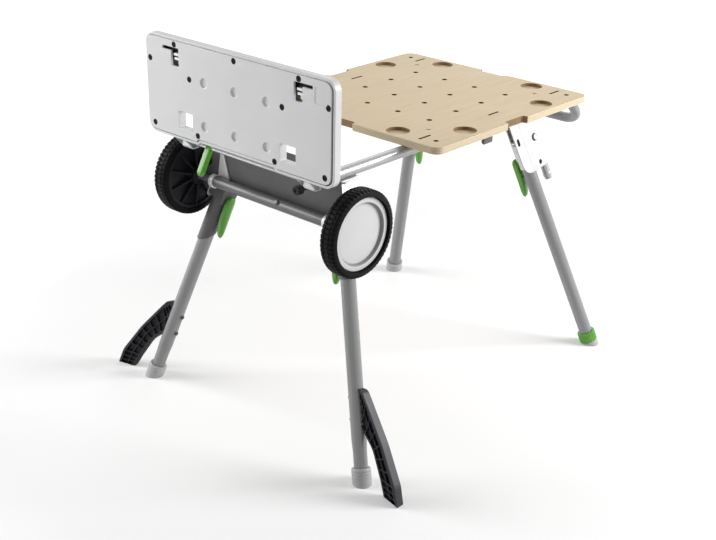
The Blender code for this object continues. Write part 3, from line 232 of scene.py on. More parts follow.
def flat(loops, height, mark):
    """A net of triangles between loops at one height, kept where the even-odd rule says inside."""
    rounds = [np.stack([np.arange(len(l)), np.roll(np.arange(len(l)), -1)], 1) for l in loops]
    starts = np.cumsum([0] + [len(l) for l in loops[:-1]])
    edges = np.concatenate([r + s for r, s in zip(rounds, starts)]).tolist()
    spots, _, faces, *_ = delaunay_2d_cdt(list(map(Vector, np.concatenate(loops))), edges, [], 1, 1e-7)
    spots, faces = np.array(spots), np.array(faces)
    faces = faces[inside(spots[faces].mean(1), loops)]
    return np.column_stack([spots, np.full(len(spots), height)]), faces, np.full(len(faces), mark)


def sheet(loops, low, high, edge=0.0008, wells=(), mark=0):
    """An outline with holes, given two faces and soft edges; a well is sunk from the high face.

    A mark picks one of the piece's finishes. There is one for all, or three: for the faces, the outer
    side and the holes' sides. A well is its loop, depth, edge and the marks of its side and floor.
    """
    face, outside, holes = mark if isinstance(mark, tuple) else (mark,) * 3
    loops = [facing(l, -1 if k else 1) for k, l in enumerate(loops)]
    made = [wall(l, low, high, edge, holes if k else outside) for k, l in enumerate(loops)]
    patches, lows, highs = [m[0] for m in made], [m[1] for m in made], [m[2] for m in made]
    for loop, depth, soft, marks in wells:
        side, floor, mouth = wall(facing(loop, -1), high - depth, high, soft, marks[0], -1)
        patches += [side, flat([floor], high - depth, marks[1])]
        highs.append(mouth)
    return patches + [flat(lows, low, face), flat(highs, high, face)]


# %% [markdown]
# ## From patches to a piece
# The patches of a piece are stacked into one mesh. Points that meet are merged, so seams and poles close,
# and the faces are turned outwards. A weighted-normal modifier keeps large flats flat beside soft edges.
# Each piece then rides on its CAD body and stands for the nodes it replaces.

# %% The piece maker
FINISH = {}


def piece(name, patches, finishes, body, slot, *nodes, crease=40, lines=None):
    """Stacks patches into one closed mesh, in world places, and hangs it on a body.

    With a place for its lines, each point also keeps its coordinates in that place.
    """
    shifts = np.cumsum([0] + [len(p[0]) for p in patches[:-1]])
    faces = [f for (_, quad, _), s in zip(patches, shifts) for f in (quad + s).tolist()]
    mesh = bpy.data.meshes.new(name)
    mesh.from_pydata(np.concatenate([p[0] for p in patches]).tolist(), [], faces)
    marks = np.concatenate([p[2] for p in patches]).astype(np.int32)
    mesh.polygons.foreach_set("material_index", marks)
    shape = bmesh.new()
    shape.from_mesh(mesh)
    bmesh.ops.remove_doubles(shape, verts=shape.verts, dist=0.000004)
    bmesh.ops.recalc_face_normals(shape, faces=shape.faces)
    shape.to_mesh(mesh)
    shape.free()
    for kind in finishes:
        mesh.materials.append(FINISH[kind])
    if lines is not None:
        points = np.empty(len(mesh.vertices) * 3, np.float32)
        mesh.vertices.foreach_get("co", points)
        own = (points.reshape(-1, 3) - lines[3]) @ lines[:3].T
        mesh.attributes.new("own_place", "FLOAT_VECTOR", "POINT").data.foreach_set("vector", own.ravel())
    mesh.shade_smooth()
    mesh.set_sharp_from_angle(angle=np.radians(crease))
    made = bpy.data.objects.new(name, mesh)
    bpy.context.scene.collection.objects.link(made)
    even = made.modifiers.new("even_shading", "WEIGHTED_NORMAL")
    even.keep_sharp = True
    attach(made, body)
    if nodes:
        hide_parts(*nodes)
    print(f"{name}: {len(mesh.polygons)} faces")


# %% [markdown]
# ## Finishes
# A real finish is never one flat colour. A broad noise moves the tone and the gloss a little, as handling
# and moulding do, and a fine noise raises a slight grain. Both read object coordinates, which match the
# stand's own metres, so the grain has its true size on every piece.

# %% A mottled finish with a fine grain
def nodes_of(name):
    """A new node material: its tree, its shader and a helper that adds linked nodes."""
    made = bpy.data.materials.new(name)
    made.use_nodes = True
    tree = made.node_tree

    def add(kind, values=None, **links):
        """One more node with its values set and its inputs linked; an underscore stands for a space."""
        node = tree.nodes.new("ShaderNode" + kind)
        for socket, value in (values or {}).items():
            node.inputs[socket].default_value = value
        for socket, source in links.items():
            tree.links.new(source, node.inputs[socket.replace("_", " ")])
        return node

    return made, tree, tree.nodes["Principled BSDF"], add


def tones(node, dark, light, low=0.3, high=0.7):
    """Sets a colour ramp that runs from one tone to another."""
    for element, at, tone in zip(node.color_ramp.elements, (low, high), (dark, light)):
        element.position = at
        element.color = (*tone, 1)
    return node.outputs["Color"]


def finish(name, colour, rough, metal=0.0, mottle=0.06, broad=22.0, grain=900.0, bump=0.1, shine=0.5,
           drawn=None):
    """Colour times one plus or minus the mottle by a broad noise, and a fine noise as the bump.

    A drawn finish reads the piece's own coordinates, squeezed along its length into fine lines.
    """
    made, tree, shader, add = nodes_of(name)
    where = add("TexCoord").outputs["Object"]
    if drawn:
        source = add("Attribute")
        source.attribute_name = "own_place"
        where = add("Mapping", {"Scale": drawn}, Vector=source.outputs["Vector"]).outputs[0]
    wide = add("TexNoise", {"Scale": broad, "Detail": 4.0}, Vector=where).outputs["Fac"]
    fine = add("TexNoise", {"Scale": grain, "Detail": 2.0}, Vector=where).outputs["Fac"]
    tone = np.array(colour)
    colours = tones(add("ValToRGB", Fac=wide), tone * (1 - mottle), np.minimum(tone * (1 + mottle), 1))
    gloss = add("MapRange", {"To Min": rough * 0.85, "To Max": min(rough * 1.15, 1.0)}, Value=wide)
    raised = add("Bump", {"Strength": bump, "Distance": 0.0004}, Height=fine)
    tree.links.new(colours, shader.inputs["Base Color"])
    tree.links.new(gloss.outputs[0], shader.inputs["Roughness"])
    tree.links.new(raised.outputs[0], shader.inputs["Normal"])
    shader.inputs["Metallic"].default_value = metal
    shader.inputs["Specular IOR Level"].default_value = shine
    FINISH[name] = made


TUBE = {"broad": 26.0, "grain": 160.0, "bump": 0.05, "drawn": (12, 12, 0.35)}
SHEET = {"mottle": 0.04, "broad": 26.0, "grain": 1200.0, "bump": 0.05}
BLACK = {"broad": 26.0, "grain": 1400.0}
PALE = {"mottle": 0.025, "grain": 1600.0}
FASTENER = {"broad": 60.0, "grain": 1800.0, "bump": 0.08}
finish("leg_tube", (0.262, 0.264, 0.267), 0.26, metal=0.15, mottle=0.07, shine=0.42, **TUBE)
finish("rail_tube", (0.38, 0.382, 0.386), 0.28, metal=0.40, **TUBE)
# Painted shade: a dark grey for the axle's silver tube, standing for its shade and dark reflections.
finish("painted_shade_tube", (0.118, 0.119, 0.122), 0.36, metal=0.45, mottle=0.08, **TUBE)
finish("bright_sheet", (0.66, 0.663, 0.666), 0.34, metal=0.35, **SHEET)
finish("pale_sheet", (0.50, 0.503, 0.506), 0.36, metal=0.30, **SHEET)
finish("dark_coat", (0.102, 0.101, 0.105), 0.50, mottle=0.10, broad=24.0, grain=2200.0, bump=0.20,
       shine=0.40)
finish("green_moulding", (0.086, 0.325, 0.020), 0.24, mottle=0.09, broad=30.0, grain=1100.0, bump=0.06)
finish("black_moulding", (0.0122, 0.0119, 0.0158), 0.46, mottle=0.18, bump=0.18, shine=0.20, **BLACK)
finish("rib_face", (0.0160, 0.0156, 0.0205), 0.44, mottle=0.15, bump=0.16, shine=0.30, **BLACK)
finish("grey_rib", (0.026, 0.026, 0.033), 0.45, mottle=0.12, bump=0.16, shine=0.35, **BLACK)
finish("tyre_rubber", (0.0045, 0.0045, 0.0050), 0.48, mottle=0.22, broad=40.0, grain=1300.0, bump=0.22,
       shine=0.08)
finish("plate_moulding", (0.66, 0.662, 0.666), 0.40, broad=12.0, bump=0.06, **PALE)
finish("cover_moulding", (0.60, 0.60, 0.604), 0.36, broad=16.0, bump=0.05, **PALE)
# Painted shade: a dark grey for the wall of the wheel cover's step, standing for the shade on that wall.
finish("cover_step_painted_shade", (0.23, 0.23, 0.234), 0.45, broad=16.0, grain=1600.0, bump=0.05)
finish("foot_moulding", (0.41, 0.412, 0.417), 0.48, mottle=0.05, broad=30.0, grain=1200.0)
finish("zinc_fastener", (0.38, 0.384, 0.388), 0.32, metal=0.8, mottle=0.08, **FASTENER)
finish("dark_fastener", (0.075, 0.076, 0.080), 0.38, metal=0.7, mottle=0.10, **FASTENER)
print("finishes:", sorted(FINISH))

# %% [markdown]
# ## Birch plywood
# The board is clear-coated birch ply. Its face has a faint long grain, so the noise is squeezed along Y.
# Its edge shows the plies, which lie flat, so the tone there follows the height. The milled walls of
# pockets and notches are dark brown, and the walls of holes and slots are near black.

# %% Plywood face, edge and milled wall
PLY_PAIR = 0.0029


def plywood():
    """Long noise for the face, a wave in Z for the edge, and brown noise for milled and drilled walls."""
    made, tree, shader, add = nodes_of("ply_face")
    at = add("TexCoord").outputs["Object"]
    long = add("Mapping", {"Scale": (70, 5, 70)}, Vector=at).outputs[0]
    grain = add("TexNoise", {"Scale": 1.6, "Detail": 6.0, "Distortion": 0.6}, Vector=long).outputs["Fac"]
    cloud = add("TexNoise", {"Scale": 5.0, "Detail": 3.0}, Vector=at).outputs["Fac"]
    both = add("Mix", {"Factor": 0.35}, A=grain, B=cloud).outputs[0]
    tree.links.new(tones(add("ValToRGB", Fac=both), (0.590, 0.470, 0.305), (0.670, 0.550, 0.374)),
                   shader.inputs["Base Color"])
    raised = add("Bump", {"Strength": 0.05, "Distance": 0.0004}, Height=grain)
    tree.links.new(raised.outputs[0], shader.inputs["Normal"])
    shader.inputs["Roughness"].default_value = 0.52
    shader.inputs["Specular IOR Level"].default_value = 0.15
    FINISH["ply_face"] = made

    made, tree, shader, add = nodes_of("ply_edge")
    at = add("TexCoord").outputs["Object"]
    bands = add("TexWave", {"Scale": 2 * np.pi / (20 * PLY_PAIR), "Distortion": 0.8, "Detail": 3.0,
                            "Detail Scale": 2.0}, Vector=at)
    bands.bands_direction = "Z"
    tree.links.new(tones(add("ValToRGB", Fac=bands.outputs["Fac"]), (0.43, 0.32, 0.185),
                         (0.70, 0.595, 0.43), 0.15, 0.6), shader.inputs["Base Color"])
    shader.inputs["Roughness"].default_value = 0.6
    FINISH["ply_edge"] = made
    cut = {"mottle": 0.25, "broad": 60.0, "bump": 0.3}
    finish("milled_wall", (0.23, 0.135, 0.058), 0.7, **cut)
    finish("near_black_bore", (0.045, 0.026, 0.012), 0.8, shine=0.2, **cut)


plywood()
print("plywood finishes made")

# %% [markdown]
# ## The camera and the light
# The camera stands where the photograph was taken from: to the right of the wheels and a little above.
# Two large soft lamps stand to the left and right of the stand, so a round tube is bright at both edges
# and darker along its middle. A weak third lamp stands behind, and a pale world fills in. The floor adds a
# little light for sight rays, so that it reads as white paper and still shows the shadow.

# %% Camera
AZIMUTH, ELEVATION, ROLL = np.radians([41.478, 24.158, -1.317])
EYE = (1.6435, -1.97325, 1.3606)
FOCAL_PIXELS, IMAGE_WIDTH = 1254.98, 716

forward = Vector((-np.sin(AZIMUTH) * np.cos(ELEVATION), np.cos(AZIMUTH) * np.cos(ELEVATION),
                  -np.sin(ELEVATION)))
level = Vector((np.cos(AZIMUTH), np.sin(AZIMUTH), 0))
down = forward.cross(level)
camera_x = level * np.cos(ROLL) + down * np.sin(ROLL)
camera_y = level * np.sin(ROLL) - down * np.cos(ROLL)
camera = bpy.data.objects.new("camera", bpy.data.cameras.new("camera"))
bpy.context.scene.collection.objects.link(camera)
camera.matrix_world = Matrix.Translation(EYE) @ Matrix((camera_x, camera_y, -forward)).transposed().to_4x4()
camera.data.sensor_width = 36
camera.data.lens = FOCAL_PIXELS / IMAGE_WIDTH * camera.data.sensor_width
bpy.context.scene.camera = camera
bpy.context.scene.view_settings.view_transform = "Standard"
print("lens", round(camera.data.lens, 2))


# %% Lamps and world
def lamp(name, place, target, size, power):
    """A square area lamp that looks from its place to its target."""
    made = bpy.data.objects.new(name, bpy.data.lights.new(name, "AREA"))
    made.data.size, made.data.energy = size, power
    made.location = place
    made.rotation_euler = (Vector(target) - Vector(place)).to_track_quat("-Z", "Y").to_euler()
    bpy.context.scene.collection.objects.link(made)


lamp("key_lamp", (1.9, 1.5, 1.45), (0, 0, 0.4), size=1.3, power=73)
lamp("side_lamp", (-2.2, -1.5, 1.35), (0, 0, 0.4), size=1.6, power=60)
lamp("back_lamp", (-1.4, 2.2, 2.0), (0, 0, 0.5), size=1.4, power=10)


def seen_strength(tree, dim, bright):
    """Strength that is bright for camera, glossy and transmission rays and dim for the rest."""
    path = tree.nodes.new("ShaderNodeLightPath")
    seen = path.outputs["Is Camera Ray"]
    for ray in ("Is Glossy Ray", "Is Transmission Ray"):
        either = tree.nodes.new("ShaderNodeMath")
        either.operation = "MAXIMUM"
        tree.links.new(seen, either.inputs[0])
        tree.links.new(path.outputs[ray], either.inputs[1])
        seen = either.outputs[0]
    strength = tree.nodes.new("ShaderNodeMapRange")
    strength.inputs["To Min"].default_value, strength.inputs["To Max"].default_value = dim, bright
    tree.links.new(seen, strength.inputs["Value"])
    return strength.outputs[0]


world = bpy.data.worlds.new("pale_room")
bpy.context.scene.world = world
world.use_nodes = True
sky = world.node_tree.nodes["Background"]
sky.inputs["Color"].default_value = (1, 1, 1, 1)
world.node_tree.links.new(seen_strength(world.node_tree, dim=0.34, bright=1.0), sky.inputs["Strength"])

# %% Floor
FLOOR_HALF = 14.0


def pale_floor():
    """A wide level square; a little emission, more of it far off, is there for sight rays only."""
    mesh = bpy.data.meshes.new("floor")
    square = FLOOR_HALF * np.array([(-1, -1, 0), (1, -1, 0), (1, 1, 0), (-1, 1, 0)])
    mesh.from_pydata((square - (0, 0, 0.0004)).tolist(), [], [(0, 1, 2, 3)])
    made, tree, shader, add = nodes_of("white_paper")
    shader.inputs["Base Color"].default_value = (0.80, 0.80, 0.80, 1)
    shader.inputs["Roughness"].default_value = 0.9
    shader.inputs["Specular IOR Level"].default_value = 0.1
    shader.inputs["Emission Color"].default_value = (1, 1, 1, 1)
    reach = add("VectorMath", None, Vector=add("TexCoord").outputs["Object"])
    reach.operation = "LENGTH"
    far = add("MapRange", {"From Min": 0.9, "From Max": 2.8, "To Min": 0.14, "To Max": 0.72},
              Value=reach.outputs["Value"])
    glow = tree.nodes.new("ShaderNodeMath")
    glow.operation = "MULTIPLY"
    tree.links.new(seen_strength(tree, dim=0.0, bright=1.0), glow.inputs[0])
    tree.links.new(far.outputs[0], glow.inputs[1])
    tree.links.new(glow.outputs[0], shader.inputs["Emission Strength"])
    mesh.materials.append(made)
    floor = bpy.data.objects.new("floor", mesh)
    bpy.context.scene.collection.objects.link(floor)


pale_floor()
print("floor", 2 * FLOOR_HALF, "metres wide")

# %% [markdown]
# ## The board
# The board carries the saw. It has a notch in each edge, a grid of through holes, thin slots and round
# pockets that stop part way down. Booleans would do it, but one sheet with its loops and wells keeps
# clean soft edges, and each wall can have its own finish.

# %% Board
BOARD, BOARD_HALF = box("board")
BOARD_PLACE = moved(WORLD, BOARD[0], BOARD[1], BOARD[2] + BOARD_HALF[2])
BOARD_CORNER, NOTCH_MOUTH, NOTCH_FLOOR, NOTCH_DEPTH = 0.020, 0.034, 0.030, 0.011
HOLE_PITCH_X, HOLE_PITCH_Y, HOLE_RADIUS = 0.084, 0.087, 0.005
CORNER_HOLE_X, CORNER_HOLE_Y, CORNER_HOLE_RADIUS = 0.220, 0.226, 0.0045
SLOT_X, SLOT_ROWS, SLOT_LENGTH, SLOT_WIDTH = 0.190, (-0.224, 0.0, 0.224), 0.034, 0.0035
POCKETS, POCKET_RADIUS, POCKET_DEPTH = ((0.126, 0.229), (0.218, 0.132)), 0.0235, 0.007
RAIL, RAIL_HALF = box("rail_right")
RAIL_X, RAIL_RADIUS, RAIL_Z = RAIL[0], RAIL_HALF[0], RAIL[2]
SCREW_Y, SCREW_WELL = 0.183, 0.0048


def board_outline():
    """One side with its notch, turned a quarter at a time; corners and notch have their own radii."""
    corners, radii = [], []
    for quarter in range(4):
        run, reach = BOARD_HALF[:2] if quarter % 2 == 0 else BOARD_HALF[1::-1]
        side = np.array([(-run, reach), (-NOTCH_MOUTH, reach), (-NOTCH_FLOOR, reach - NOTCH_DEPTH),
                         (NOTCH_FLOOR, reach - NOTCH_DEPTH), (NOTCH_MOUTH, reach)])
        turn = np.array([[0, 1], [-1, 0]]).T
        corners.append(side @ np.linalg.matrix_power(turn, quarter))
        radii += [BOARD_CORNER, 0.003, 0.004, 0.004, 0.003]
    return rounded(np.concatenate(corners), radii)


def make_board():
    """A sheet with the holes as loops and the pockets as wells, sunk from the top."""
    outline = facing(board_outline(), 1)
    between = (outline + np.roll(outline, -1, 0)) / 2
    deep = (BOARD_HALF[:2] - np.abs(between)).min(1)
    milled = np.where((deep > 0.0008) & (np.abs(between).min(1) < 0.05), 2, 1)
    steps, wells = np.arange(4) - 1.5, []
    loops = [outline] + [circle(HOLE_PITCH_X * i, HOLE_PITCH_Y * j, HOLE_RADIUS, 20)
                         for i in steps for j in steps]
    for sx in (-1, 1):
        x0, x1 = sx * SLOT_X - SLOT_WIDTH / 2, sx * SLOT_X + SLOT_WIDTH / 2
        loops += [circle(sx * CORNER_HOLE_X, sy * CORNER_HOLE_Y, CORNER_HOLE_RADIUS, 20) for sy in (-1, 1)]
        loops += [box_loop(x0, y - SLOT_LENGTH / 2, x1, y + SLOT_LENGTH / 2, 0.0016) for y in SLOT_ROWS]
        for sy in (-1, 1):
            wells += [(circle(sx * x, sy * y, POCKET_RADIUS, 56), POCKET_DEPTH, 0.0006, (2, 0))
                      for x, y in POCKETS]
            wells.append((circle(sx * RAIL_X, sy * SCREW_Y, SCREW_WELL, 24), 0.0033, 0.0003, (2, 2)))
    board = sheet(loops, -2 * BOARD_HALF[2], 0, 0.0010, wells, (0, milled, 3))
    piece("plywood_board", placed(board, BOARD_PLACE),
          ("ply_face", "ply_edge", "milled_wall", "near_black_bore"), "frame", "plywood", "board")


make_board()

# %% [markdown]
# ## Screws
# Four screws hold the board to the rails. A screw head is a round sheet with a star-shaped well, so the
# same sheet formula makes it. The black screws of the toe plate are made the same way later on.


# %% Board screws
def screw_heads(spots, top, radius, thick):
    """A round soft-edged head with a driver recess at each spot."""
    heads = []
    for x, y in spots:
        recess = (star(x, y, radius * 0.55), thick * 0.6, 0.0001, (0, 0))
        heads += sheet([circle(x, y, radius, 28)], top - thick, top, radius * 0.18, [recess])
    return heads


board_spots = [(sx * RAIL_X, sy * SCREW_Y) for sx in (-1, 1) for sy in (-1, 1)]
heads = screw_heads(board_spots, top=-0.0006, radius=0.0044, thick=0.0025)
piece("board_screw_heads", placed(heads, BOARD_PLACE), ("zinc_fastener",), "frame", "zinc_steel",
      *[f"board_screw_{k}" for k in range(1, 5)])

# %% [markdown]
# ## Rails and handle
# Two tubes run under the board. At the far end one bent tube plugs into both, dips and crosses as the
# hand grip. A curve with a bevel would give this too. Here a ring is carried along a path whose corners
# are arcs, which keeps the bends true and the tube's wall visible at the open ends.

# %% Rails
RAIL_BORE = 0.0097
for name, side in SIDES:
    ends = [(side * RAIL_X, RAIL[1] + way * RAIL_HALF[1], RAIL_Z) for way in (-1, 1)]
    piece(f"rail_tube_{name}", swept(ends, RAIL_RADIUS, (0, 0, 1), RAIL_BORE), ("rail_tube",), "frame",
          "silver_tube", f"rail_{name}", lines=standing(*ends[0]))

# %% Handle
DIP_START, DIP_END, GRIP_Z = behind(0.862), behind(0.932), 0.495
RAIL_END = RAIL[1] + RAIL_HALF[1]
half_path = [(RAIL_X, RAIL_END + 0.0003, RAIL_Z), (RAIL_X, DIP_START, RAIL_Z), (RAIL_X, DIP_END, GRIP_Z)]
handle_path = half_path + [(-x, y, z) for x, y, z in half_path[::-1]]
bends = rounded(handle_path, [0, 0.035, 0.045, 0.045, 0.035, 0], 14)
square_to_dip = (0, RAIL_Z - GRIP_Z, DIP_END - DIP_START)
piece("handle_tube", swept(bends, RAIL_RADIUS, square_to_dip), ("leg_tube",), "frame", "silver_tube",
      "handle_bow", lines=lying(0, 0, 0))

# %% [markdown]
# ## Front apron and axle
# A dark folded sheet closes the frame behind the wheels. The axle tube crosses in front of it, with a
# small gusset welded on at the left. The weld is a thin bead whose radius ripples along its path.

# %% Apron
UNDER_RAILS = RAIL_Z - RAIL_RADIUS - 0.0003
APRON, APRON_HALF = box("front_apron")
APRON_Y, APRON_REACH, APRON_TONGUE = APRON[1] - APRON_HALF[1], APRON_HALF[0], 0.1542
LEDGE_THICK, LEDGE_DEPTH = 0.003, 0.050


def make_apron():
    """An upright T-shaped sheet and a level flange that meets it at the top."""
    low, top = APRON[2] - APRON_HALF[2], APRON[2] + APRON_HALF[2]
    right = [(APRON_REACH, low), (APRON_REACH, UNDER_RAILS), (APRON_TONGUE, UNDER_RAILS),
             (APRON_TONGUE, top)]
    soft = [0.006, 0.002, 0.001, 0.002]
    outline = rounded(right + [(-x, z) for x, z in right[::-1]], soft + soft[::-1])
    flange = box_loop(-APRON_REACH, 0.0008, APRON_REACH, LEDGE_DEPTH, 0.004)
    patches = placed(sheet([outline], 0, 0.002, 0.0006), standing(0, APRON_Y, 0))
    patches += placed(sheet([flange], -LEDGE_THICK, 0, mark=1), moved(WORLD, 0, APRON_Y, UNDER_RAILS))
    piece("apron_sheet", patches, ("dark_coat", "bright_sheet"), "frame", "dark_sheet", "front_apron")


make_apron()

# %% Axle tube, gusset and weld
AXLE, AXLE_ROD_HALF = box("axle_rod")
AXLE_HALF, AXLE_RADIUS = box("axle_tube")[1][:2]
BORE = AXLE_ROD_HALF[2] + 0.0003
COLLAR_RADIUS, COLLAR_LENGTH = 0.0143, 0.010
GUSSET_LEFT, GUSSET_RIGHT, GUSSET_LOW, GUSSET_HIGH = -0.158, -0.122, 0.4828, 0.5428


def make_axle():
    """A turned tube with soft ends and bright collars, a gusset, its ripple of weld and a small nub."""
    tube = rounded([(AXLE_RADIUS, AXLE_HALF), (AXLE_RADIUS, -AXLE_HALF), (BORE, -AXLE_HALF),
                    (BORE, AXLE_HALF)], [0.0016, 0.0016, 0.0004, 0.0004], 4)
    start, end, seat = AXLE_HALF - COLLAR_LENGTH, AXLE_HALF + 0.001, AXLE_RADIUS - 0.0003
    collar = rounded([(COLLAR_RADIUS, end), (COLLAR_RADIUS, start), (seat, start), (seat, end)],
                     [0.0012, 0.0012, 0.0002, 0.0002], 4)
    patches = turned(tube, 48, True) + turned(collar, 48, True, 1) + turned(collar * (1, -1), 48, True, 1)
    patches = placed(patches, lying(*AXLE))
    back = APRON_Y - 0.0003
    gusset = rounded([(GUSSET_LEFT, GUSSET_LOW), (GUSSET_RIGHT, GUSSET_LOW), (-0.140, GUSSET_HIGH),
                      (-0.148, GUSSET_HIGH)], [0, 0, 0.004, 0.003])
    patches += placed(sheet([gusset], -0.003, 0, 0.0006, mark=1), standing(0, back, 0))
    x = np.linspace(GUSSET_LEFT - 0.001, GUSSET_RIGHT + 0.001, 60)
    bead = np.stack([x, np.full_like(x, back - 0.0036), np.full_like(x, AXLE[2] + 0.0082)], 1)
    patches += swept(bead, 0.0021 + 0.0004 * np.sin(x * 2200), (0, 0, 1), None, 12)
    nub = rounded([(0.0, 0.0045), (0.0045, 0.0045), (0.006, 0.0), (0.0, 0.0)], [0, 0.0015, 0.0005, 0], 4)
    lean = np.array([0.0, -0.8, 0.6])
    foot = AXLE + (0.030, 0, 0) + lean * (AXLE_RADIUS - 0.0006)
    patches += placed(turned(nub, 24), np.array([WORLD[0], np.cross(lean, WORLD[0]), lean, foot]))
    # The tube takes the dark grey of painted shade and painted reflection; its collars and gusset are
    # bright sheet.
    piece("axle_crossbar", patches, ("painted_shade_tube", "bright_sheet"), "frame", "silver_tube", "axle_tube",
          lines=lying(*AXLE))


make_axle()

# %% [markdown]
# ## Small pieces of the frame
# The cross brace under the board, the blocks and rod that the toe plate hinges on, and a black buffer.
# Each is a sheet seen from its best side, or a turned profile with soft corners.

# %% Brace, hinge and buffer
HINGE, ROD_HALF = box("hinge_rod")
ROD_HOLE = ROD_HALF[2] + 0.0003
BRACE, BRACE_HALF = box("cross_brace")
BRACE_HEIGHT, BRACE_TAB = 0.014, 0.008
BUFFER_AT = (0.132, behind(0.026), 0.552)


def make_brace():
    """One thick sheet: a bar with a tab turned down at each end."""
    end, foot, top = BRACE_HALF[0], BRACE[2] - BRACE_HALF[2], BRACE[2] + BRACE_HALF[2]
    tab, low = end - BRACE_TAB, top - BRACE_HEIGHT
    right = [(tab, low), (tab, foot + 0.004), (end, foot), (end, top)]
    soft = [0.004, 0.002, 0.002, 0.003]
    outline = rounded(right + [(-x, z) for x, z in right[::-1]], soft + soft[::-1])
    bar = sheet([outline], -BRACE_HALF[1], BRACE_HALF[1], 0.0015)
    piece("brace_bar", placed(bar, standing(0, BRACE[1], 0)), ("dark_coat",), "frame", "dark_sheet",
          "cross_brace")


def make_hinge():
    """Two thick blocks with a round front, and the turned rod through them."""
    outline = rounded([(-0.010, -0.012), (0.0107, -0.012), (0.0107, 0.012), (-0.010, 0.012)],
                      [0.008, 0.002, 0.002, 0.008])
    block = sheet([outline, circle(0, 0, ROD_HOLE, 24)], -0.0135, 0.0135, 0.0014)
    for name, side in SIDES:
        piece(f"hinge_end_{name}", placed(block, moved(lying(*HINGE), z=side * RAIL_X)), ("bright_sheet",),
              "frame", "bright_sheet", f"hinge_block_{name}")
    radius, end = ROD_HALF[2], ROD_HALF[0]
    rod = rounded([(0, end), (radius, end), (radius, -end), (0, -end)], [0, 0.0008, 0.0008, 0], 3)
    piece("hinge_bar", placed(turned(rod, 24), lying(*HINGE)), ("zinc_fastener",), "frame", "zinc_steel",
          "hinge_rod")


def make_buffer():
    """A turned stem, and a head with a groove round it and a shallow dish in its face."""
    profile = [(0, 0.0728), (0.005, 0.0728), (0.005, 0.014), (0.0095, 0.014), (0.0095, 0.0085),
               (0.0082, 0.0075), (0.0095, 0.0065), (0.0095, 0), (0.004, 0), (0.0035, 0.0018), (0, 0.0018)]
    soft = [0, 0.0005, 0.0005, 0.001, 0.0005, 0.0004, 0.0005, 0.002, 0.0006, 0.0004, 0]
    place = np.array([(1, 0, 0), (0, 0, -1), (0, 1, 0), BUFFER_AT])
    buffer = placed(turned(rounded(profile, soft, 4), 36), place)
    piece("rubber_buffer", buffer, ("black_moulding",), "frame", "black_plastic", "front_buffer")


make_brace()
make_hinge()
make_buffer()

# %% [markdown]
# ## Where the legs stand
# All four legs lean in both directions, so each has its own frame: Z runs up the leg, Y is the way the
# foot is splayed along the stand, and X is the fold axis. Everything on a leg is drawn in that frame.

# %% Leg places
STANCE = {"front": {"foot_x": 0.309, "foot_behind": 0.029, "slope_x": 0.3105, "slope_y": 0.206,
                    "reach": 0.515, "offset": 0.0},
          "rear": {"foot_x": 0.305, "foot_behind": 0.841, "slope_x": 0.317, "slope_y": -0.264,
                   "reach": 0.527, "offset": 0.029}}


class Leg:
    """A leg's names, its frame at the pivot, and which way along X is outward."""

    def __init__(self, end, name, side, foot_x, foot_behind, slope_x, slope_y, reach, offset):
        """The foot's place and the leg's slopes give the axes; the pivot is reach up from the foot."""
        up = unit(np.array([-side * slope_x, slope_y, 1.0]))
        outward = unit(np.array([side, 0.0, slope_x]))
        splay = unit(np.cross(up, outward))
        splay = -splay if splay[1] * slope_y > 0 else splay
        across = np.cross(splay, up)
        pivot = np.array([side * foot_x, behind(foot_behind), 0]) + up * reach + splay * offset
        self.place = np.array([across, splay, up, pivot])
        self.axis = moved(self.place, 0, -offset, 0)
        self.out = 1 if across @ outward > 0 else -1
        self.front, self.end, self.name, self.side, self.reach = end == "front", end, name, side, reach
        self.body = f"{end}_leg_{name}"

    def node(self, part):
        """The CAD node of one part of this leg."""
        return f"{self.end}_leg_{part}_{self.name}"

    def top_edge(self, height, x, y):
        """Local Z at which the line through x and y meets a world height."""
        return (height - self.place[3, 2] - x * self.place[0, 2] - y * self.place[1, 2]) / self.place[2, 2]

    def face(self, way, z=0.0):
        """Splay and up as the drawing, and the fold axis, or its reverse for way -1, out of it."""
        place = moved(self.place, z=z)
        return np.vstack([place[[1, 2]], way * place[:1], place[3:]])

    def flank(self, way, inward=0.0, z=0.0):
        """Outward, or inward for way -1, and up as the drawing, with the splay out of it."""
        place = moved(self.axis, -self.out * inward, 0, z)
        return np.vstack([way * self.out * place[0], place[[2, 1, 3]]])


LEGS = [Leg(end, name, side, **STANCE[end]) for end in ("front", "rear") for name, side in SIDES]
print("legs:", [leg.body for leg in LEGS])

# %% [markdown]
# ## Leg tubes, sockets and feet
# The legs are satin silver tubes. The wheel-end tubes are necked above the foot and sit in dark sockets.
# A pale cap closes three feet; the fourth has a green ring that drives a grey foot out for uneven ground.
# A foot is a turned profile whose lowest points slide along the leg until they lie on the floor.


# %% Tubes
LEG_RADIUS, NECK_RADIUS, TUBE_WALL = 0.015, 0.0138, 0.0022
NECK_LOW, NECK_HIGH = 0.062, 0.085
TUBE_FOOT, ADJUSTED_FOOT, TUBE_TOP = 0.013, 0.0336, {"front": 0.4897, "rear": 0.5112}


def levelled(patches, floor, up):
    """Points under the floor slide along the leg's direction until they are on it."""
    return [(p - np.minimum(p[:, 2:] - floor, 0) / up[2] * up, faces, marks) for p, faces, marks in patches]


def lever_lug(leg, start):
    """A small sheet on the leg's inner side, which the lever turns on."""
    return placed(sheet([box_loop(start, -0.098, 0.0285, -0.082, 0.003)], -0.004, 0.004), leg.flank(-1))


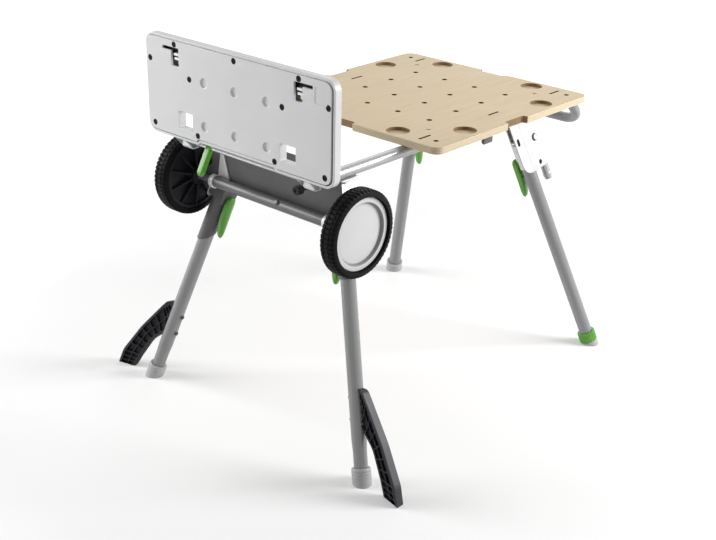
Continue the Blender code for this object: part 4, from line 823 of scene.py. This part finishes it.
def make_tube(leg):
    """Outer and inner wall as one closed profile; the front tubes have a neck; rear ones have a lug."""
    adjusted = leg is LEGS[3]
    outer = [(LEG_RADIUS, TUBE_TOP[leg.end]), (LEG_RADIUS, ADJUSTED_FOOT if adjusted else TUBE_FOOT)]
    if leg.front:
        outer[1:] = [(LEG_RADIUS, NECK_HIGH), (NECK_RADIUS, NECK_LOW), (NECK_RADIUS, TUBE_FOOT)]
    outer = [(r, z - leg.reach) for r, z in outer]
    inner = [(r - TUBE_WALL, z) for r, z in outer[::-1]]
    soft = [0.0005] + [0.03] * (len(outer) - 2) + [0.0005]
    patches = placed(turned(rounded(outer + inner, soft * 2, 6), 48, True), leg.axis)
    if not leg.front:
        patches += lever_lug(leg, 0.0139)
    piece(f"{leg.end}_tube_{leg.name}", patches, ("leg_tube",), leg.body, "silver_tube", leg.node("tube"),
          lines=leg.axis)


for leg in LEGS:
    make_tube(leg)

# %% Sockets of the wheel-end legs
SOCKET_RADIUS, SOCKET_MOUTH, SOCKET_BORE = 0.0172, 0.0174, 0.0153
SOCKET_LOW, SOCKET_SLANT = {"left": -0.146, "right": -0.120}, {"left": 0.5, "right": 0.0}


def make_socket(leg):
    """A turned sleeve whose lower end is cut at a slant, a crossing eye on the pivot and the lever's lug.

    A slanted cut lowers each point by its reach outward and forward. The right sleeve ends behind the
    wheel, so it is shorter and cut square.
    """
    low = SOCKET_LOW[leg.name]
    sleeve = rounded([(0.0, 0.004), (0.0160, 0.004), (SOCKET_RADIUS, -0.006), (SOCKET_RADIUS, low + 0.006),
                      (SOCKET_MOUTH, low + 0.004), (SOCKET_MOUTH, low), (SOCKET_BORE, low),
                      (SOCKET_BORE, -0.026), (0, -0.026)],
                     [0, 0.003, 0.004, 0.002, 0.001, 0.001, 0.0006, 0.002, 0], 4)
    eye = rounded([(0, 0.018), (SOCKET_RADIUS, 0.018), (SOCKET_RADIUS, -0.018), (0, -0.018)],
                  [0, 0.001, 0.001, 0], 3)
    patches = []
    for points, faces, marks in turned(sleeve, 48):
        outward_and_forward = leg.out * points[:, 0] + points[:, 1]
        cut = SOCKET_SLANT[leg.name] * (points[:, 2] < low + 0.010) * outward_and_forward
        patches.append((points - np.outer(cut, (0, 0, 1)), faces, marks))
    patches = placed(patches, leg.place) + placed(turned(eye, 40), leg.face(1)) + lever_lug(leg, 0.0162)
    piece(f"socket_sleeve_{leg.name}", patches, ("dark_coat",), leg.body, "dark_sheet", leg.node("socket"))


for leg in LEGS[:2]:
    make_socket(leg)

# %% Foot caps
CAP_WALL, CAP_FLOOR, CAP_TOP, GROOVE = 0.0052, 0.0127, 0.030, 0.0007
BELOW_FLOOR = -0.012


def make_cap(leg):
    """A cup with a lip and two ring grooves, cut level on the floor."""
    socket = (NECK_RADIUS if leg.front else LEG_RADIUS) + 0.0003
    outer = socket + CAP_WALL
    corners = [(0, CAP_FLOOR), (socket, CAP_FLOOR), (socket, CAP_TOP), (outer - 0.0012, CAP_TOP),
               (outer, CAP_TOP - 0.003)]
    for ring in (0.0225, 0.0165):
        corners += [(outer, ring + 0.0013), (outer - GROOVE, ring + 0.0006),
                    (outer - GROOVE, ring - 0.0006), (outer, ring - 0.0013)]
    corners += [(outer, BELOW_FLOOR), (0, BELOW_FLOOR)]
    soft = [0, 0.0004, 0.0004, 0.0008, 0.001] + [0.0003] * 8 + [0, 0]
    cup = placed(turned(rounded(corners, soft, 4), 48), moved(leg.axis, z=-leg.reach))
    piece(f"{leg.end}_foot_{leg.name}", levelled(cup, 0.0, leg.place[2]), ("foot_moulding",), leg.body,
          "pale_plastic", leg.node("cap"))


for leg in LEGS[:3]:
    make_cap(leg)

# %% Height adjuster
GRIPS, GRIP_SWING = 24, 0.00055
RING_BORE, RING_RADIUS, RING_LOW, RING_HIGH = 0.0128, 0.0202, 0.0093, 0.0333
STEM_RADIUS, STEM_TOP, PAD_RADIUS, PAD_TOP = 0.0125, 0.069, 0.0195, 0.009


def make_adjuster(leg):
    """The ring's radius swings with the angle for finger grips; the foot is turned and cut level."""
    ring = rounded([(RING_BORE, RING_HIGH), (RING_RADIUS, RING_HIGH), (RING_RADIUS, RING_LOW),
                    (RING_BORE, RING_LOW)], [0.0005, 0.002, 0.002, 0.0005], 5)

    def grip(a, r):
        """A wave round the outside, and nothing in the bore."""
        return np.where(r > 0.0180, GRIP_SWING * np.cos(GRIPS * a) - 0.0003, 0)

    place = moved(leg.axis, z=-leg.reach)
    piece("adjuster_grip_ring", placed(turned(ring, GRIPS * 8, True, 0, grip), place), ("green_moulding",),
          "adjuster_ring", "green_plastic", "adjuster_ring")
    foot = rounded([(0, STEM_TOP), (STEM_RADIUS, STEM_TOP), (STEM_RADIUS, PAD_TOP), (PAD_RADIUS, PAD_TOP),
                    (PAD_RADIUS, BELOW_FLOOR), (0, BELOW_FLOOR)], [0, 0.001, 0.0003, 0.0012, 0, 0], 4)
    made = levelled(placed(turned(foot, 48), place), 0.0, leg.place[2])
    piece("adjuster_pad", made, ("foot_moulding",), "adjuster_foot", "pale_plastic", "adjuster_foot")


make_adjuster(LEGS[3])

# %% [markdown]
# ## Leg brackets and pivot bolts
# Each leg turns between the cheeks of a folded sheet bracket. The front ones sit under the apron's ledge;
# their far cheek is bright sheet as painted light, and their near cheek and web are dark coat as painted
# shade. The pale rear ones show a slot, a hole and a round post; slot and hole are shallow wells with black
# walls and floor, painted shade for their dark insides. The cheeks lean with the leg, so their upper edge
# follows the line where they meet the level plate under the rails.

# %% Brackets
CHEEK, STEEL, PIN_HOLE = 0.0185, 0.003, 0.0055
BRACKET_TOP = {"front": UNDER_RAILS - LEDGE_THICK - 0.0003, "rear": UNDER_RAILS}
TOP_PLATE_INNER, TOP_PLATE_OUTER, TOP_PLATE_THICK = 0.105, 0.1775, 0.004


def cheek(leg, x, inside_reach, drop, slant, web):
    """Outline of a cheek: down one side, round the lower corners, up the web and along the top line."""
    narrow, top = min(web + inside_reach, drop) * 0.48, BRACKET_TOP[leg.end]
    return rounded([(-inside_reach, leg.top_edge(top, x, -inside_reach)), (-inside_reach, -drop),
                    (web, -drop - slant), (web, leg.top_edge(top, x, web))],
                   [0, narrow, narrow * 0.45, 0], 10)


def make_bracket(leg):
    """Two cheek sheets, a web between them on the splayed side, a level top plate and a rear post."""
    # Painted shade: on the front brackets the near cheek and the web take dark coat; the far cheek keeps
    # the bright sheet as painted light.
    top, shade = BRACKET_TOP[leg.end], 2 if leg.front else 0
    reach, drop, slant, web_in = (0.022, 0.060, 0.0, CHEEK) if leg.front else (0.069, 0.062, 0.012, 0.0168)
    near_reach, near_drop = (reach, drop) if leg.front else (0.034, 0.040)
    web, middle, hole = web_in + STEEL, leg.out * (CHEEK + STEEL / 2), circle(0, 0, PIN_HOLE, 28)
    far = [cheek(leg, middle, reach, drop, slant, web), hole]
    near = [cheek(leg, -middle, near_reach, near_drop, 0.0, web), hole]
    # Painted shade: the rear slot and hole are shallow wells whose walls and floor are black.
    slot_hole_and_creases = [
        (box_loop(-0.0622, 0.0060, -0.0540, 0.0225, 0.0040), 0.0024, 0.0004, (1, 1)),
        (circle(-0.0075, -0.0575, 0.0050), 0.0024, 0.0004, (1, 1)),
        (box_loop(-0.040, -0.050, -0.0386, 0.050, 0.0006), 0.0004, 0.0002, (0, 0)),
        (box_loop(-0.030, -0.0285, 0.006, -0.0272, 0.0006), 0.0004, 0.0002, (0, 0))]
    wells = () if leg.front else slot_hole_and_creases
    patches = placed(sheet(far, CHEEK, CHEEK + STEEL, 0.0006, wells), leg.face(leg.out))
    patches += placed(sheet(near, CHEEK, CHEEK + STEEL, 0.0006, mark=shade), leg.face(-leg.out))
    span, floor = CHEEK + 0.0024, -drop + min(web + reach, drop) * 0.24
    corners = [(-span, floor), (span, floor), (span, leg.top_edge(top, span, web)),
               (-span, leg.top_edge(top, -span, web))]
    back = sheet([rounded(corners, [0.004, 0.004, 0, 0])], web_in, web - 0.0002, 0.0005, mark=shade)
    patches += placed(back, leg.place[[0, 2, 1, 3]])
    if not leg.front:
        post = rounded([(0, 0.019), (0.009, 0.019), (0.009, -0.100), (0.0096, -0.102), (0.0096, -0.109),
                        (0.0084, -0.110), (0.0084, -0.116), (0.0045, -0.116), (0.004, -0.112), (0, -0.112)],
                       [0, 0.001, 0.0006, 0.0006, 0.0008, 0.0004, 0.001, 0.0006, 0.0006, 0], 4)
        patches += placed(turned(post, 36, False, 3), moved(leg.place, y=web + 0.0075))
    y = leg.place[3, 1] + leg.place[1, 1] * (web - reach) / 2
    deep = (web + reach) / 2 if leg.front else 0.050
    x0, x1 = sorted((leg.side * TOP_PLATE_INNER, leg.side * TOP_PLATE_OUTER))
    patches += sheet([box_loop(x0, y - deep, x1, y + deep, 0.006)], top - TOP_PLATE_THICK, top)
    piece(f"{leg.end}_channel_{leg.name}", patches,
          ("bright_sheet" if leg.front else "pale_sheet", "black_moulding", "dark_coat", "zinc_fastener"),
          "frame", "bright_sheet", leg.node("bracket"))


for leg in LEGS:
    make_bracket(leg)


# %% Pivot bolts
def hex_loop(radius):
    """Six corners of a bolt head, a little softened."""
    return rounded(circle(0, 0, radius, 6), 0.0008, 2)


def bolt_head(start, washer, across, thick):
    """A washer and a six-sided head with a shallow dish, standing on a face at the start height."""
    patches = sheet([circle(0, 0, washer, 36)], start, start + 0.0010, 0.0003, mark=1)
    dish = (circle(0, 0, across * 0.55, 24), 0.0005, 0.0003, (0, 0))
    return patches + sheet([hex_loop(across)], start + 0.0010, start + thick, 0.0005, [dish])


PIN_HALF, PIN_RADIUS = CHEEK + STEEL + 0.0001, 0.005
for leg in LEGS:
    shank = turned([(0, PIN_HALF), (PIN_RADIUS, PIN_HALF), (PIN_RADIUS, -PIN_HALF), (0, -PIN_HALF)], 28)
    patches = placed(shank, leg.face(1))
    for way in (-1, 1):
        patches += placed(bolt_head(PIN_HALF, washer=0.0090, across=0.0070, thick=0.0036), leg.face(way))
    piece(f"{leg.end}_pivot_bolt_{leg.name}", patches, ("zinc_fastener", "dark_fastener"), "frame",
          "zinc_steel", leg.node("pin"))

# %% [markdown]
# ## Green levers
# A squeeze on a green lever frees a leg. Seen from the side a lever is a curved blade that thins to a
# round tip, and a ridge runs down its outer face. A block with bevels would look too boxy, so each
# cross-section is a soft box between two curves, and the box shrinks to nothing at both ends.


# %% Leg levers
def blade(low, high, inner, outer, half_width, ridge, rows=44, sides=40):
    """At each height, x lies between two curves and z within a half width, as a soft box.

    The box is a circle whose cosine and sine are raised to the power 0.36, keeping their signs. Both
    shrink at the ends by the root of one minus a power of t, which runs from -1 to 1: the 8th power at
    the tip and the 12th at the head, which is squarer. The ridge lowers the outer face in proportion
    to its distance from the middle.
    """
    t = np.sin(np.linspace(-np.pi / 2, np.pi / 2, rows))[:, None]
    y = (low + high) / 2 + (high - low) / 2 * t
    a = np.linspace(0, 2 * np.pi, sides, endpoint=False)[None, :]
    across = np.sign(np.cos(a)) * np.abs(np.cos(a)) ** 0.36
    aside = np.sign(np.sin(a)) * np.abs(np.sin(a)) ** 0.36
    end = np.sqrt(np.clip(1 - np.abs(t) ** np.where(t < 0, 8, 12), 0, 1))
    x0, x1 = np.polyval(inner, y), np.polyval(outer, y)
    drop = ridge * np.abs(aside) * np.clip(across, 0, 1)
    x = (x0 + x1) / 2 + end * ((x1 - x0) / 2 * across - drop)
    points = np.stack([x, y + 0 * x, np.polyval(half_width, y) * end * aside], -1)
    return [quads(points, False, True)]


LEVER_KNOTS = (-0.042, 0.0, 0.052)
LEVER_INWARD, LEVER_DROP = 0.0235, -0.090
lever_inner = np.polyfit(LEVER_KNOTS, [0.0055, -0.0022, 0.0004], 2)
lever_outer = np.polyfit(LEVER_KNOTS, [0.0170, 0.0140, 0.0125], 2)
lever_half = np.polyfit(LEVER_KNOTS, [0.0062, 0.0092, 0.0102], 2)
squeeze = blade(LEVER_KNOTS[0], LEVER_KNOTS[-1], lever_inner, lever_outer, lever_half, ridge=0.0025)
for leg in LEGS:
    piece(f"{leg.end}_squeeze_lever_{leg.name}", placed(squeeze, leg.flank(-1, LEVER_INWARD, LEVER_DROP)),
          ("green_moulding",), f"{leg.end}_lever_{leg.name}", "green_plastic", leg.node("lever"), crease=24)

# %% [markdown]
# ## Outriggers
# The black outriggers widen the stance at the wheel end. The front face is a ladder of slanted ribs inside
# a raised border, and it slopes back towards the leg. The cells are wells in a sheet, and the slope is a
# shear of the finished points: the nearer the leg, the thinner the piece. The outer band is lighter.

# %% Outriggers
RIGGER_HEIGHT, RIGGER_BACK, RIGGER_FRONT, RIGGER_FLOOR = 0.186, -0.006, 0.014, 0.001
RIGGER = np.array([(0.032, 1.000, 0.022), (0.151, 0.985, 0.070), (0.206, 0.866, 0.240),
                   (0.390, 0.446, 1.000), (0.525, 0.027, 0.260), (0.538, -0.242, 0.016),
                   (0.320, -0.161, 0.016), (0.290, 0.054, 0.400), (0.205, 0.376, 0.400),
                   (0.032, 0.634, 0.022)]) * RIGGER_HEIGHT
LADDER_BAYS, RIB_HALF, CELL_DEPTH = 12, 0.0010, 0.0070
LADDER_START, LADDER_END = np.array([0.0262, 0.157]), np.array([0.0785, -0.006])
OUTER_LINE = np.array([(0.0205, 0.178), (0.0340, 0.158), (0.0670, 0.083), (0.0915, 0.005),
                       (0.0950, -0.034)])
INNER_LINE = np.array([(0.0090, 0.168), (0.0095, 0.120), (0.0420, 0.070), (0.0575, 0.010),
                       (0.0635, -0.025)])


def border(line, share):
    """The point at a share of the way along a border line's knots."""
    knots = np.linspace(0, 1, len(line))
    return np.array([np.interp(share, knots, line[:, 0]), np.interp(share, knots, line[:, 1])])


def rib_cells():
    """Two lanes of slanted cells between the border lines, each shrunk by half a rib and rounded."""
    def spot(lane, bay):
        """A share of the way from the inner border line to the outer one."""
        low = border(INNER_LINE, (bay + 0.5) / (LADDER_BAYS + 1))
        return low + (border(OUTER_LINE, bay / LADDER_BAYS) - low) * lane / 2

    cells = [[spot(lane, bay), spot(lane + 1, bay), spot(lane + 1, bay + 1), spot(lane, bay + 1)]
             for bay in range(LADDER_BAYS) for lane in range(2)]
    return [(rounded(inset(cell, RIB_HALF), 0.0012, 4), CELL_DEPTH, 0.0004, (0, 0)) for cell in cells]


def make_outrigger(leg):
    """A sheet with rib cells, sloped towards the leg and cut level just above the floor."""
    outline = facing(rounded(RIGGER[:, :2], RIGGER[:, 2], 8), 1)
    between = (outline + np.roll(outline, -1, 0)) / 2
    run = unit(LADDER_END - LADDER_START)
    aside = np.array([-run[1], run[0]])
    outer_band = np.where((between - LADDER_START) @ aside > 0.006, 2, 0)
    rigger = sheet([outline], RIGGER_BACK, RIGGER_FRONT, 0.0018, rib_cells(), (1, outer_band, 0))

    def sloped(points):
        """Thickness above the back face shrinks with the distance from the outer edge."""
        share = np.clip(0.72 + (points[:, :2] - LADDER_START) @ aside * 20, 0.55, 1.0)
        return np.column_stack([points[:, :2], (points[:, 2] - RIGGER_BACK) * share + RIGGER_BACK])

    rigger = placed([(sloped(p), faces, marks) for p, faces, marks in rigger], leg.flank(1, z=-leg.reach))
    piece(f"outrigger_blade_{leg.name}", levelled(rigger, RIGGER_FLOOR, leg.place[2]),
          ("black_moulding", "rib_face", "grey_rib"), leg.body, "black_plastic", leg.node("outrigger"))


for leg in LEGS[:2]:
    make_outrigger(leg)

# %% Outrigger bolts
RIGGER_BOLTS = (0.123, 0.166)
for leg in LEGS[:2]:
    patches = []
    for up in RIGGER_BOLTS:
        head = bolt_head(LEG_RADIUS - 0.0004, washer=0.0062, across=0.0048, thick=0.0040)
        patches += placed(head, leg.face(-leg.out, up - leg.reach))
    piece(f"outrigger_bolt_heads_{leg.name}", patches, ("dark_fastener", "zinc_fastener"), leg.body,
          "zinc_steel", *[leg.node(f"outrigger_bolt_{k}") for k in (1, 2)])

# %% [markdown]
# ## Wheels
# Solid tyres on black rims, with a pale dished cover outside. The tread is part of the tyre's formula:
# across the tyre runs u from -1 to 1, the radius falls off with a high power of u, and block gaps are cut
# where a saw-tooth of the angle passes its edge. Turned profiles give the rim and the cover.

# %% Tyres
TYRE, TYRE_SIZE = box("tyre_right")
TYRE_HALF, TYRE_RADIUS = TYRE_SIZE[[0, 2]]
TYRE_INNER, BLOCKS, TREAD = 0.0725, 56, 0.0021


def make_tyre(place, name):
    """Inner radius, plus the reach times the root of one minus u's 8th power, minus the tread in gaps."""
    shoulder = np.linspace(0.955, 1, 4)
    u = np.concatenate([-shoulder[::-1], np.linspace(-0.93, 0.93, 39), shoulder])[:, None]
    a = np.linspace(0, 2 * np.pi, BLOCKS * 10, endpoint=False)[None, :]
    r = TYRE_INNER + (TYRE_RADIUS - TYRE_INNER) * np.clip(1 - np.abs(u) ** 8, 0, 1) ** 0.5
    row = np.where(np.abs(u) < 0.34, 0.25, np.where(u > 0, 0.5, 0.0))
    saw = np.abs((a * BLOCKS / (2 * np.pi) + row) % 1 - 0.5)
    gap = np.clip((saw - 0.335) / 0.05, 0, 1)
    groove = np.clip(1 - (np.abs(np.abs(u) - 0.36) - 0.03) / 0.02, 0, 1)
    tread = np.maximum(gap, groove) * np.clip((0.95 - np.abs(u)) / 0.03, 0, 1)
    r = r - TREAD * tread
    points = np.stack([r * np.cos(a), r * np.sin(a), TYRE_HALF * (1 + u) + 0 * a], -1)
    tyre = placed([quads(points, True, True)], place)
    piece(f"tyre_tread_{name}", tyre, ("tyre_rubber",), f"wheel_{name}", "tyre", f"tyre_{name}", crease=30)


# %% Rims and covers
RIM_RIBS, RIM_EDGE, FLANGE, HUB, RIM_BACK = 10, 0.0722, 0.0650, 0.017, 0.0217
DISC_INNER, DISC_OUTER, HUB_INNER = 0.0076, 0.0141, -0.012


def make_rim(place, name):
    """A turned rim with a hub that reaches inwards, and radial ribs between hub and flange."""
    profile = rounded([(RIM_EDGE, RIM_BACK), (RIM_EDGE, 0.002), (FLANGE, 0.002), (FLANGE, DISC_INNER),
                       (HUB, DISC_INNER), (HUB, HUB_INNER), (BORE, HUB_INNER), (BORE, RIM_BACK),
                       (HUB, RIM_BACK), (HUB, DISC_OUTER), (FLANGE, DISC_OUTER), (FLANGE, RIM_BACK)],
                      0.0008, 3)
    patches = placed(turned(profile, 72, True), place)
    rib = sheet([rounded([(0.0155, -0.006), (0.0195, -0.006), (0.0662, 0.003), (0.0662, 0.0085),
                          (0.0155, 0.0085)], [0, 0.004, 0, 0, 0], 4)], -0.0016, 0.0016, 0.0005)
    for k in range(RIM_RIBS):
        a = 2 * np.pi * k / RIM_RIBS
        radial = np.cos(a) * place[0] + np.sin(a) * place[1]
        patches += placed(rib, np.array([radial, place[2], np.cross(radial, place[2]), place[3]]))
    piece(f"rim_spokes_{name}", patches, ("black_moulding",), f"wheel_{name}", "black_plastic",
          f"wheel_rim_{name}")


def make_cover(place, name):
    """A turned cover: a raised outer ring, a step whose wall is painted dark grey as painted shade, and a
    slightly crowned dish.
    """
    corners = [(0, 0.0248), (0.030, 0.0245), (0.0572, 0.0234), (0.0584, 0.0236), (0.0602, 0.0292),
               (0.0616, 0.0298), (0.0700, 0.0296), (RIM_EDGE, 0.0270), (RIM_EDGE, 0.022), (0, 0.022)]
    soft = [0, 0.2, 0.0006, 0.0006, 0.0008, 0.0010, 0.0015, 0.0015, 0.0004, 0]
    profile = rounded(corners, soft, 6)
    radius, height = (profile[1:] + profile[:-1]).T / 2
    # Painted shade: the faces of the step wall take the dark grey step finish.
    painted_shade_step = (radius > 0.0575) & (radius < 0.0612) & (height > 0.0233)
    cover = turned(profile, 96, False, painted_shade_step[:, None])
    piece(f"cover_dish_{name}", placed(cover, place), ("cover_moulding", "cover_step_painted_shade"), f"wheel_{name}",
          "pale_plastic", f"wheel_cover_{name}")


for name, side in SIDES:
    inner_end = (side * (TYRE[0] - TYRE_HALF), AXLE[1], AXLE[2])
    hub_place = np.array([(0, 0, -side), (0, 1, 0), (side, 0, 0), inner_end])
    make_tyre(hub_place, name)
    make_rim(hub_place, name)
    make_cover(hub_place, name)

# %% [markdown]
# ## The toe plate
# The toe plate is a moulded tray. Its panel is set into a rim, with a thin gap that holds a black strip
# of painted shade at its right end. It has two latch slots, two windows with deep sides, six shallow
# dimples and eleven black screws.
# The drawing lies in the plate's own plane: x across, y up and z out of the face towards the camera.

# %% Outline of the plate
WIDE, HIGH = PANEL_HALF[[0, 2]]
PLATE = np.array([(1, 0, 0), (0, 0, 1), (0, -1, 0), (0, FACE_Y, PANEL[2])])
PLATE_BACK, PLATE_CORNER = -0.019, 0.022
RECESS_HALF, RECESS_HEIGHT = 0.100, 0.006
recess = [(RECESS_HALF, RECESS_HEIGHT - HIGH), (RECESS_HALF + RECESS_HEIGHT, -HIGH)]
plate_loop = rounded([(-WIDE, -HIGH)] + [(-x, y) for x, y in recess[::-1]] + recess
                     + [(WIDE, -HIGH), (WIDE, HIGH), (-WIDE, HIGH)],
                     [PLATE_CORNER] + [0.002] * 4 + [PLATE_CORNER] * 3, 8)
WINDOW_X, WINDOW_HALF, WINDOW_LOW, WINDOW_HIGH = 0.1375, 0.0195, -0.075, -0.041
WINDOWS = [box_loop(s * WINDOW_X - WINDOW_HALF, WINDOW_LOW, s * WINDOW_X + WINDOW_HALF, WINDOW_HIGH, 0.002)
           for s in (-1, 1)]
STEM_INNER, STEM_OUTER, STEM_LOW = 0.153, 0.1735, 0.045
BAR_OUTER, BAR_LOW, BAR_HIGH = 0.198, 0.0738, 0.0803


def latch_loop(side, grow=0.0):
    """An L: a thin bar along the top and a stem below its inner end, grown by a margin."""
    inner, elbow, outer = STEM_INNER - grow, STEM_OUTER + grow, BAR_OUTER + grow
    foot, low, high = STEM_LOW - grow, BAR_LOW - grow, BAR_HIGH + grow
    corners = [(inner, foot), (elbow, foot), (elbow, low), (outer, low), (outer, high), (inner, high)]
    return rounded([(side * x, y) for x, y in corners], 0.0006, 3)


# %% Panel
DIMPLES = [(x, y) for x in (-0.0835, 0, 0.0835) for y in (-0.0575, 0.0275)]
half_spots = [(0.236, 0.049), (0.1645, 0.0865), (0.1235, 0.027), (0.229, -0.079), (0.104, -0.0795)]
PLATE_SCREWS = [(0.0, 0.086)] + [(s * x, y) for x, y in half_spots for s in (-1, 1)]


def make_panel():
    """The front sheet with slots and windows as loops, and dimples, screw seats and a blank as wells."""
    wells = [(circle(x, y, 0.0090, 40), 0.0036, 0.0018, (0, 0)) for x, y in DIMPLES]
    wells += [(circle(x, y, 0.0056, 28), 0.0034, 0.0004, (1, 1)) for x, y in PLATE_SCREWS]
    wells.append((box_loop(0.2035, 0.051, 0.232, 0.080, 0.002), 0.0008, 0.0004, (0, 0)))
    loops = [inset(plate_loop, 0.0062) + (-0.0008, 0.0008)] + WINDOWS + [latch_loop(s) for s in (-1, 1)]
    panel = sheet(loops, -0.005, -0.0003, 0.0009, wells)
    piece("toe_panel", placed(panel, PLATE), ("plate_moulding", "black_moulding"), "toe_plate",
          "pale_plastic", "plate_panel")


make_panel()

# %% Tray behind the panel
LUG_OFFSET, LUG_HALF = 0.01625, 0.00225
SHADE_STRIP_START, CELL_PITCH, CELL_HALF = 0.205, 0.488 / 3, 0.0793


def make_tray():
    """A rim round the panel, ribs behind it, deep window sides and the lugs on the hinge rod."""
    patches = sheet([plate_loop, inset(plate_loop, 0.0048)], PLATE_BACK + 0.0002, -0.0020, 0.0014)
    # Painted shade: a black strip in the gap, only along the rim's right end.
    rims = inset(plate_loop, 0.0040), inset(plate_loop, 0.0080)
    outer, inner = (rim[rim[:, 0] > SHADE_STRIP_START] for rim in rims)
    patches += sheet([np.vstack([outer, inner[::-1]])], -0.0050, -0.0034, 0.0003, mark=1)
    cells = []
    for k in (-1, 0, 1):
        x0, x1 = k * CELL_PITCH - CELL_HALF, k * CELL_PITCH + CELL_HALF
        cells += [box_loop(x0, -0.087, x1, -0.002, 0.004), box_loop(x0, 0.002, x1, 0.093, 0.004)]
    patches += sheet([inset(plate_loop, 0.003)] + cells, PLATE_BACK, -0.0055)
    for window in WINDOWS:
        patches += sheet([inset(window, -0.0022), window], -0.0175, -0.0048, 0.0005)
    patches = placed(patches, PLATE)
    lug = rounded([(-0.026, 0.0170), (-0.026, 0.0123), (-0.0075, -0.0075), (0.0075, -0.0075),
                   (0.0075, 0.0075), (-0.0175, 0.0170)], [0, 0.002, 0.0068, 0.0068, 0.0068, 0], 5)
    for x in [side * RAIL_X + end * LUG_OFFSET for side in (-1, 1) for end in (-1, 1)]:
        made = sheet([lug, circle(0, 0, ROD_HOLE, 24)], x - LUG_HALF, x + LUG_HALF, 0.0005, mark=2)
        patches += placed(made, lying(*HINGE))
    piece("toe_tray", patches, ("plate_moulding", "black_moulding", "zinc_fastener"), "toe_plate",
          "pale_plastic", "plate_frame")


make_tray()

# %% Latch hooks and screws
PRONGS, PRONG_END, PRONG_HEIGHT = ((0.0575, 0.0085), (0.0655, 0.0065)), 0.0198, 0.0046


def make_latches():
    """A well and back plate behind each slot, painted black as painted shade in the slot, and two bright
    prongs that show in the stem.
    """
    for name, side in SIDES:
        housing = sheet([latch_loop(side, 0.0024), latch_loop(side, 0.0006)], -0.0185, -0.0051, 0.0004,
                        mark=1)
        x0, x1 = sorted((side * (STEM_INNER - 0.003), side * (BAR_OUTER + 0.004)))
        housing += sheet([box_loop(x0, 0.060, x1, 0.087, 0.002)], -0.0140, -0.0110, 0.0006, mark=1)
        x0 = min(side * STEM_INNER, side * STEM_OUTER)
        for y, start in PRONGS:
            prong = box_loop(x0 + start, y, x0 + PRONG_END, y + PRONG_HEIGHT, 0.0008)
            housing += sheet([prong], -0.0118, -0.0012, 0.0005)
        piece(f"latch_catch_{name}", placed(housing, PLATE), ("bright_sheet", "black_moulding"),
              "toe_plate", "zinc_steel", f"latch_hook_{name}")


make_latches()
heads = screw_heads(PLATE_SCREWS, top=-0.0016, radius=0.0050, thick=0.0024)
piece("toe_plate_screws", placed(heads, PLATE), ("black_moulding",), "toe_plate", "black_plastic")

# %% Release lever
TILT, RELEASE_X, RELEASE_LOW, RELEASE_HIGH = np.radians(28), -0.110, -0.058, 0.008
leaning = np.array([(0, np.cos(TILT), -np.sin(TILT)), (0, np.sin(TILT), np.cos(TILT)), (1, 0, 0),
                    HINGE + (RELEASE_X, 0, 0)])
release = blade(RELEASE_LOW, RELEASE_HIGH, [0.010, -0.0054], [-0.010, 0.0054], [0.012, 0.0079], ridge=0.0)
piece("release_lever", placed(release, leaning), ("green_moulding",), "plate_lever", "green_plastic",
      "plate_lever")

# %% [markdown]
# ## CAD pieces that stay
# The axle rod and the knuckles inside the rear brackets are right as they are. They keep their solids and
# only get their finish.

# %% Finishes for the CAD pieces that stay
KEPT = {"axle_rod": "zinc_fastener", "rear_leg_knuckle_left": "bright_sheet",
        "rear_leg_knuckle_right": "bright_sheet"}
for node, name in KEPT.items():
    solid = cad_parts[node]
    solid.data.materials.clear()
    solid.data.materials.append(FINISH[name])
print("kept CAD nodes:", sorted(n for n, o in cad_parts.items() if not o.hide_render))
